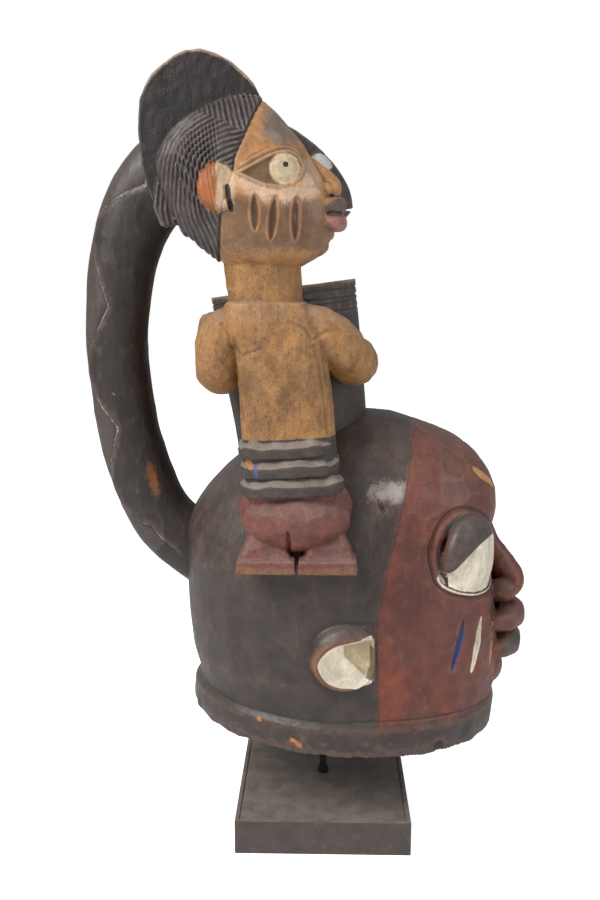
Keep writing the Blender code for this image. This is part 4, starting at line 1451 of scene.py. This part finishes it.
def carve_drum(skin, foot, axis):
    t = along_drum(skin.points, foot, axis)
    side = rise(0.995 - t, 0, 0.01) * rise(np.abs(skin.facing[:, 2]), 0.9, 0.6)
    skin.facet(side, np.array((17, 17, 34)), 1.3, seed=71)
    height = np.zeros(len(t))
    for level, depth, seed in ((0.955, 1.1, 72), (0.905, 1.4, 73), (0.875, 0.8, 74), (0.83, 1.2, 75)):
        drift = 0.007 * wander(skin.points, 26, seed)
        height -= depth * rise(0.0085 - np.abs(t - level - drift), 0, 0.006) * (
            0.75 + 0.35 * wander(skin.points, 12, seed + 9))
    height += 0.5 * wander(skin.points, 21, 76) + 0.16 * wander(skin.points * (1, 1, 0.2), 2.4, 77)
    height -= 1.2 * rise(wander(skin.points, 9, 78), 0.35, 0.8) * rise(t, 0.975, 0.99)
    skin.push(height * np.maximum(side, 0.4))


# The stand


# The base's top, in metres: its outer margin, the groove within it and the panel's sloping edge.
BASE_MARGIN = 0.0045
BASE_GROOVE_WIDTH = 0.0016
BASE_GROOVE_DEPTH = 0.0016
BASE_PANEL_SLOPE = 0.0014
BASE_PANEL_RISE = 0.0008
BASE_EDGE_SOFTNESS = 0.00045


def base_mesh():
    """A low block with softened edges and a shallow groove cut round its top."""
    low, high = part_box("stand_base")
    size = Vector(high) - Vector(low)
    bm = bmesh.new()
    bmesh.ops.create_cube(bm, size=1.0)
    bmesh.ops.scale(bm, vec=(size.x, size.y, size.z), verts=bm.verts)
    bmesh.ops.translate(bm, vec=(Vector(low) + Vector(high)) / 2, verts=bm.verts)
    top = max(bm.faces, key=lambda face: face.calc_center_median().z)
    bmesh.ops.inset_region(bm, faces=[top], thickness=BASE_MARGIN)
    bmesh.ops.inset_region(bm, faces=[top], thickness=BASE_GROOVE_WIDTH, depth=-BASE_GROOVE_DEPTH)
    bmesh.ops.inset_region(bm, faces=[top], thickness=BASE_PANEL_SLOPE, depth=BASE_PANEL_RISE)
    bmesh.ops.bevel(bm, geom=list(bm.edges), offset=BASE_EDGE_SOFTNESS, segments=2, affect="EDGES",
                    profile=0.5, material=-1, clamp_overlap=True)
    bmesh.ops.subdivide_edges(bm, edges=[e for e in bm.edges if e.calc_length() > 0.02], cuts=6,
                              use_grid_fill=True)
    bmesh.ops.recalc_face_normals(bm, faces=bm.faces)
    mesh = bpy.data.meshes.new("stand_base_finished")
    bm.to_mesh(mesh)
    bm.free()
    return mesh


# Colours, as a paint chart reads them, turned into scene values


def chart(red, green, blue):
    """A colour given from 0 to 255 a channel as a paint chart shows it, in scene-linear values."""
    linear = [((c / 255 + 0.055) / 1.055) ** 2.4 if c > 10 else c / 255 / 12.92 for c in (red, green, blue)]
    return (*linear, 1.0)


WOOD = chart(176, 128, 84)
RAW_WOOD = chart(196, 118, 48)
# Painted shade in hollows and creases, and the dark of soil in pits.
HOLLOW_SHADE_AND_GRIME = chart(34, 28, 25)
# Pale powder on what faces up, also used as painted light on the upward faces.
DUST_AND_TOP_LIGHT = chart(170, 158, 148)
PINK = chart(168, 112, 100)


class MaskSettings(bpy.types.PropertyGroup):
    """What a user would change of the mask's carving and paint."""

    helmet_grain: FloatProperty(
        name="Helmet grain", description="Spacing of the helmet's finest carving", default=0.00112,
        min=0.0008, max=0.01, subtype="DISTANCE")
    figure_grain: FloatProperty(
        name="Figure grain", description="Spacing of the figures' finest carving", default=0.00088,
        min=0.0006, max=0.01, subtype="DISTANCE")
    head_grain: FloatProperty(
        name="Head grain", description="Spacing of the figures' heads' finest carving", default=0.00072,
        min=0.0005, max=0.01, subtype="DISTANCE")
    snake_grain: FloatProperty(
        name="Snake grain", description="Spacing of the snake's finest carving", default=0.00115,
        min=0.0008, max=0.01, subtype="DISTANCE")
    black_paint: FloatVectorProperty(
        name="Black paint", description="Paint of the crown and the drum", size=4,
        default=chart(60, 51, 47), min=0, max=1, subtype="COLOR")
    red_paint: FloatVectorProperty(
        name="Red paint", description="Paint of the helmet's face", size=4,
        default=chart(98, 53, 45), min=0, max=1, subtype="COLOR")
    snake_paint: FloatVectorProperty(
        name="Snake paint", description="Near black paint of the snake", size=4,
        default=chart(47, 39, 36), min=0, max=1, subtype="COLOR")
    ochre_paint: FloatVectorProperty(
        name="Ochre paint", description="Paint of the figures' skin", size=4,
        default=chart(160, 115, 68), min=0, max=1, subtype="COLOR")
    dark_paint: FloatVectorProperty(
        name="Dark grey paint", description="Paint of the eyelids and the waist beads", size=4,
        default=chart(62, 55, 52), min=0, max=1, subtype="COLOR")
    white_paint: FloatVectorProperty(
        name="White paint", description="Paint of the eyes and the ears' bowls", size=4,
        default=chart(226, 215, 194), min=0, max=1, subtype="COLOR")
    blue_paint: FloatVectorProperty(
        name="Blue paint", description="Laundry blue that is left in the cheek's marks", size=4,
        default=chart(70, 72, 128), min=0, max=1, subtype="COLOR")
    hair_paint: FloatVectorProperty(
        name="Hair paint", description="Dark violet brown paint of the figures' hair", size=4,
        default=chart(64, 55, 55), min=0, max=1, subtype="COLOR")


class StudioSettings(bpy.types.PropertyGroup):
    """What a user would change of the camera and the light."""

    camera_distance: FloatProperty(
        name="Camera distance", description="From the rod's axis to the camera", default=0.873,
        min=0.3, max=5, unit="LENGTH")
    camera_height: FloatProperty(
        name="Camera height", description="From the ground to the camera", default=0.483,
        min=0, max=3, unit="LENGTH")
    key_power: FloatProperty(
        name="Key light", description="Power of the soft light from the upper left", default=36.0,
        min=0, max=1000, unit="POWER")
    fill_power: FloatProperty(
        name="Fill light", description="Power of the soft light from the right", default=9.0,
        min=0, max=1000, unit="POWER")
    surround: FloatProperty(
        name="Surround", description="Strength of the white light from all round", default=0.34,
        min=0, max=10)


def mask_settings():
    return bpy.context.scene.gelede_mask


def in_units(spacing):
    """A spacing of the settings, in carver's units."""
    return spacing / UNIT


class CarveHelmet(bpy.types.Operator):
    """Carve and paint the helmet: its face, its ears, its rim and its hollow"""

    bl_idname = "gelede.carve_helmet"
    bl_label = "Carve Helmet"

    def execute(self, context):
        paint = mask_settings()
        skin = fuse(helmet_forms(), in_units(paint.helmet_grain), softening=3)
        skin = Skin(lined_with_cavity(skin.mesh))
        carve_helmet(skin)
        skin = thinned(skin, HELMET_TRIANGLES)
        note_helmet_paint(skin)
        layers = (
            ("chalky", chart(150, 142, 136), 16.0, 0.8),
            ("red", tuple(paint.red_paint), 1.2, 0.1),
            ("warm", chart(116, 56, 38), 9.0, 0.5),
            ("dark", tuple(paint.dark_paint), 1.0, 0.2),
            ("ochre", chart(196, 146, 84), 1.8, 0.5),
            ("worn", chart(116, 74, 48), 4.0, 0.6),
            ("white", tuple(paint.white_paint), 0.9, 0.2),
            ("recess", chart(204, 184, 150), 1.6, 0.3),
            # Painted shadow along the ear's open front edge.
            ("step", chart(116, 98, 76), 1.6, 0.1),
            ("blue", tuple(paint.blue_paint), 1.4, 0.6),
            ("bare", RAW_WOOD, 3.5, 0.4),
            ("inside", chart(112, 88, 66), 1.0, 0.0),
        )
        finish = painted_wood("helmet_paint", tuple(paint.black_paint), layers, unevenness=0.42,
                              rubbed=0.3, rubbed_to=chart(142, 104, 84), dust_and_top_light=0.16, hollow_shade_and_grime=0.6,
                              pitting=0.3, gloss=0.42)
        hang_piece(skin, "helmet_carving", finish, "mask")
        return {"FINISHED"}


def carve_figure(side, shift, coarse):
    """Both skins of a kneeling figure: its body and its head."""
    paint = mask_settings()
    name = "near" if side == NEAR else "far"
    body = fuse(body_forms(side), in_units(paint.figure_grain) * coarse, softening=3)
    carve_body(body, side)
    body = thinned(body, BODY_TRIANGLES / coarse**2)
    note_body_paint(body, side)
    layers = (
        ("patina", chart(124, 88, 52), 9.0, 0.6),
        ("dark", tuple(paint.dark_paint), 1.2, 0.2),
        # Painted light on the rings' upward ledges.
        ("ledge", chart(120, 109, 99), 2.4, 0.6),
        ("red", chart(112, 64, 56), 1.2, 0.2),
        ("bare", chart(122, 84, 60), 2.4, 0.4),
        ("blue", tuple(paint.blue_paint), 1.0, 0.6),
        ("orange", RAW_WOOD, 1.6, 0.2),
    )
    finish = painted_wood(name + "_body_paint", tuple(paint.ochre_paint), layers, unevenness=0.36,
                          rubbed=0.3, rubbed_to=chart(196, 154, 108), dust_and_top_light=0.34, hollow_shade_and_grime=0.8,
                          pitting=0.75, gloss=0.56, grain=0.5, skin=1.0, relief=0.0009)
    hang_piece(body, name + "_figure_body", finish, "mask")
    head = fuse(head_forms(side, shift), in_units(paint.head_grain) * coarse, softening=3)
    carve_head(head, side, shift)
    head = thinned(head, HEAD_TRIANGLES / coarse**2)
    note_head_paint(head, side, shift)
    layers = (
        ("patina", chart(122, 90, 62), 12.0, 0.5),
        ("brow_grey", chart(128, 110, 98), 12.0, 0.3),
        ("blush", chart(196, 164, 138), 12.0, 0.5),
        ("shade", chart(112, 86, 62), 1.0, 0.4),
        ("white", chart(202, 182, 150), 3.0, 0.7),
        ("lid", chart(172, 136, 98), 1.4, 0.8),
        ("pupil", chart(44, 36, 34), 0.6, 0.0),
        ("upper_lip", chart(100, 80, 72), 1.0, 0.3),
        ("lower_lip", PINK, 1.4, 0.5),
        ("scar", chart(158, 106, 60), 2.4, 1.0),
        ("hair", tuple(paint.hair_paint), 0.6, 0.1),
        ("crest", chart(28, 21, 19), 0.6, 0.0),
        ("crest_top", chart(140, 112, 88), 2.2, 0.5),
        ("ear_white", chart(190, 162, 130), 5.0, 0.9),
        ("bare", chart(158, 94, 50), 3.5, 0.6),
        # Painted shade in the ear's cut slot.
        ("slot", chart(48, 36, 32), 0.8, 0.0),
    )
    finish = painted_wood(name + "_head_paint", chart(176, 126, 78), layers, unevenness=0.42, rubbed=0.3,
                          rubbed_to=chart(150, 136, 132), dust_and_top_light=0.06, hollow_shade_and_grime=0.8, pitting=0.45, gloss=0.46,
                          skin=0.7)
    hang_piece(head, name + "_figure_head", finish, "mask")


class CarveNearFigure(bpy.types.Operator):
    """Carve and paint the kneeling figure that faces the camera's side"""

    bl_idname = "gelede.carve_near_figure"
    bl_label = "Carve Near Figure"

    def execute(self, context):
        carve_figure(NEAR, 0, 1.0)
        return {"FINISHED"}


class CarveFarFigure(bpy.types.Operator):
    """Carve and paint the kneeling figure of the other side"""

    bl_idname = "gelede.carve_far_figure"
    bl_label = "Carve Far Figure"

    def execute(self, context):
        carve_figure(FAR, FAR_HEAD_SHIFT, 1.15)
        return {"FINISHED"}


class CarveSnake(bpy.types.Operator):
    """Carve and paint the snake that arches over the drum"""

    bl_idname = "gelede.carve_snake"
    bl_label = "Carve Snake"

    def execute(self, context):
        paint = mask_settings()
        skin = fuse(snake_forms(), in_units(paint.snake_grain), softening=2)
        carve_snake(skin)
        skin = thinned(skin, SNAKE_TRIANGLES)
        note_snake_paint(skin)
        layers = (
            # Painted light on the zigzag's cut planes.
            ("facet", chart(70, 61, 58), 1.5, 0.2),
            ("chalk_line", chart(164, 150, 140), 1.2, 0.7),
            ("white", chart(214, 208, 202), 2.5, 0.7),
            ("bare", chart(126, 78, 42), 8.0, 0.9),
            ("pale", chart(190, 170, 140), 1.0, 0.1),
        )
        finish = painted_wood("snake_paint", tuple(paint.snake_paint), layers, rubbed=0.4,
                              rubbed_to=chart(124, 106, 92), dust_and_top_light=0.1, gloss=0.46)
        hang_piece(skin, "snake_carving", finish, "mask")
        return {"FINISHED"}


class TurnDrum(bpy.types.Operator):
    """Shape and paint the drum between the figures"""

    bl_idname = "gelede.turn_drum"
    bl_label = "Turn Drum"

    def execute(self, context):
        paint = mask_settings()
        skin, foot, axis = drum_skin()
        carve_drum(skin, foot, axis)
        t = along_drum(skin.points, foot, axis)
        skin.note("edge", (t - 0.985) * 136 + 1.5 * wander(skin.points, 12, 79))
        skin.note("raised", np.clip(skin.raised(6) * 2.4, -0.7, 1))
        layers = (("edge", chart(132, 110, 92), 1.4, 0.5),)
        finish = painted_wood("drum_paint", tuple(paint.black_paint), layers, rubbed=0.4,
                              rubbed_to=chart(140, 120, 104), dust_and_top_light=0.16, gloss=0.55, grain=0.8)
        hang_piece(skin, "drum_carving", finish, "mask")
        return {"FINISHED"}


def stand_paint(name, colour, dust_and_top_light, gloss):
    """Flat black paint with scuffs along its edges, paler where it faces up from powder and painted light."""
    made = bpy.data.materials.new(name)
    made.use_nodes = True
    graph = Graph(made.node_tree)
    shader = made.node_tree.nodes["Principled BSDF"]
    aged = use_effect(graph, "Old Paint", {"Colour": colour, "Unevenness": 0.22})
    top_light_and_dust_mask = use_effect(graph, "Dust And Top Light", {"Amount": dust_and_top_light})["Mask"]
    shade = graph.mix(top_light_and_dust_mask, aged["Colour"], DUST_AND_TOP_LIGHT)
    rubs = graph.remap(graph.noise(graph.place((1, 3, 1)), 120.0, 6.0, 0.7), 0.56, 0.7, 0.0, 0.25)
    shade = graph.mix(rubs, shade, chart(120, 112, 104))
    roughness = graph.math("ADD", gloss, graph.math("MULTIPLY", top_light_and_dust_mask, 0.3))
    height = use_effect(graph, "Tool Marks", {"Grain": 0.1, "Skin": 0.6, "Pits": 0.2})["Height"]
    bump = graph.add("ShaderNodeBump", {"Height": height, "Distance": 0.00012, "Strength": 1.0})
    graph.feed(shader.inputs["Base Color"], shade)
    graph.feed(shader.inputs["Roughness"], roughness)
    graph.feed(shader.inputs["Normal"], bump.outputs["Normal"])
    return made


class FinishStand(bpy.types.Operator):
    """Soften the base's edges and paint the base and the rod"""

    bl_idname = "gelede.finish_stand"
    bl_label = "Finish Stand"

    def execute(self, context):
        base = linked_object("stand_base_finished", base_mesh())
        base.data.materials.append(stand_paint("base_paint", chart(76, 68, 63), 0.5, 0.6))
        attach(base, "root")
        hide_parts("stand_base")
        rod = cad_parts["stand_rod"]
        rod.data.materials.clear()
        rod.data.materials.append(stand_paint("rod_paint", chart(30, 28, 28), 0.1, 0.4))
        return {"FINISHED"}


def soft_light(name, place, target, size, power):
    data = bpy.data.lights.new(name, "AREA")
    data.shape = "RECTANGLE"
    data.size, data.size_y = size
    data.energy = power
    light = bpy.data.objects.new(name, data)
    light.location = place
    light.rotation_euler = (Vector(target) - Vector(place)).to_track_quat("-Z", "Y").to_euler()
    bpy.context.scene.collection.objects.link(light)
    return light


# The studio: the camera's focal length in pixels of a picture this high and its angles in degrees, the
# lights' places, targets and sizes, and the floor's half width and its glow as the camera sees it.
FOCAL_PIXELS = 1000
PIXELS_HIGH = 900
CAMERA_DIP = 9.65
CAMERA_TURN = 1.41
KEY_LIGHT = ((-1.1, -1.1, 1.5), (0, 0, 0.35), (1.0, 1.0))
FILL_LIGHT = ((1.5, -0.7, 0.9), (0, 0, 0.3), (1.0, 1.2))
FLOOR_HALF_WIDTH = 4.0
FLOOR_GLOW = 0.8


def camera(settings):
    """The photograph's own view: a little above, level with the drum."""
    data = bpy.data.cameras.new("photo_view")
    data.sensor_width = 36.0
    data.lens = 36.0 * FOCAL_PIXELS / PIXELS_HIGH
    data.clip_start = 0.05
    data.clip_end = 50.0
    view = bpy.data.objects.new("photo_view", data)
    view.location = (0, -settings.camera_distance, settings.camera_height)
    view.rotation_euler = (math.radians(90 - CAMERA_DIP), 0, math.radians(CAMERA_TURN))
    bpy.context.scene.collection.objects.link(view)
    bpy.context.scene.camera = view


def pale_floor():
    bm = bmesh.new()
    bmesh.ops.create_grid(bm, x_segments=1, y_segments=1, size=FLOOR_HALF_WIDTH)
    mesh = bpy.data.meshes.new("floor")
    bm.to_mesh(mesh)
    bm.free()
    floor = linked_object("floor", mesh)
    made = bpy.data.materials.new("floor_paper")
    made.use_nodes = True
    graph = Graph(made.node_tree)
    shader = made.node_tree.nodes["Principled BSDF"]
    tone = graph.remap(graph.noise(graph.place(), 3.0), 0.3, 0.7, 0.0, 1.0)
    graph.feed(shader.inputs["Base Color"], graph.mix(tone, (0.93, 0.93, 0.93, 1), (0.96, 0.96, 0.96, 1)))
    shader.inputs["Roughness"].default_value = 0.9
    seen = graph.add("ShaderNodeLightPath").outputs["Is Camera Ray"]
    graph.feed(shader.inputs["Emission Color"], graph.mix(seen, (0, 0, 0, 1), (1, 1, 1, 1)))
    shader.inputs["Emission Strength"].default_value = FLOOR_GLOW
    floor.data.materials.append(made)


def white_surround(strength):
    """A world that is plain white to the eye and lights the object with this strength."""
    world = bpy.data.worlds.new("white_surround")
    world.use_nodes = True
    graph = Graph(world.node_tree)
    backdrop = world.node_tree.nodes["Background"]
    backdrop.inputs["Color"].default_value = (1, 1, 1, 1)
    seen = graph.add("ShaderNodeLightPath").outputs["Is Camera Ray"]
    graph.feed(backdrop.inputs["Strength"], graph.remap(seen, 0.0, 1.0, strength, 1.0))
    return world


class SetStudio(bpy.types.Operator):
    """Set up the pale floor, the soft lights, the white surround and the camera"""

    bl_idname = "gelede.set_studio"
    bl_label = "Set Studio"

    def execute(self, context):
        settings = context.scene.gelede_studio
        scene = context.scene
        pale_floor()
        soft_light("key_light", *KEY_LIGHT, settings.key_power)
        soft_light("fill_light", *FILL_LIGHT, settings.fill_power)
        scene.world = white_surround(settings.surround)
        scene.view_settings.view_transform = "Standard"
        camera(settings)
        return {"FINISHED"}


class GeledePanel(bpy.types.Panel):
    """Lists the pieces of the mask and their settings"""

    bl_idname = "VIEW3D_PT_gelede"
    bl_label = "Gelede Mask"
    bl_space_type = "VIEW_3D"
    bl_region_type = "UI"
    bl_category = "Gelede"

    def draw(self, context):
        column = self.layout.column()
        for settings in (context.scene.gelede_mask, context.scene.gelede_studio):
            for name in settings.bl_rna.properties.keys():
                if name not in ("rna_type", "name"):
                    column.prop(settings, name)
        for operator in STEPS:
            column.operator(operator.bl_idname)


STEPS = (CarveHelmet, CarveNearFigure, CarveFarFigure, CarveSnake, TurnDrum, FinishStand, SetStudio)
CLASSES = (MaskSettings, StudioSettings, *STEPS, GeledePanel)


def register():
    for each in CLASSES:
        bpy.utils.register_class(each)
    bpy.types.Scene.gelede_mask = PointerProperty(type=MaskSettings)
    bpy.types.Scene.gelede_studio = PointerProperty(type=StudioSettings)


def unregister():
    del bpy.types.Scene.gelede_studio
    del bpy.types.Scene.gelede_mask
    for each in reversed(CLASSES):
        bpy.utils.unregister_class(each)


def main():
    """Dresses the loaded frame."""
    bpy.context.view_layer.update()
    register()
    shared_effects()
    for step in STEPS:
        category, name = step.bl_idname.split(".")
        getattr(getattr(bpy.ops, category), name)()


if __name__ == "__main__":
    main()
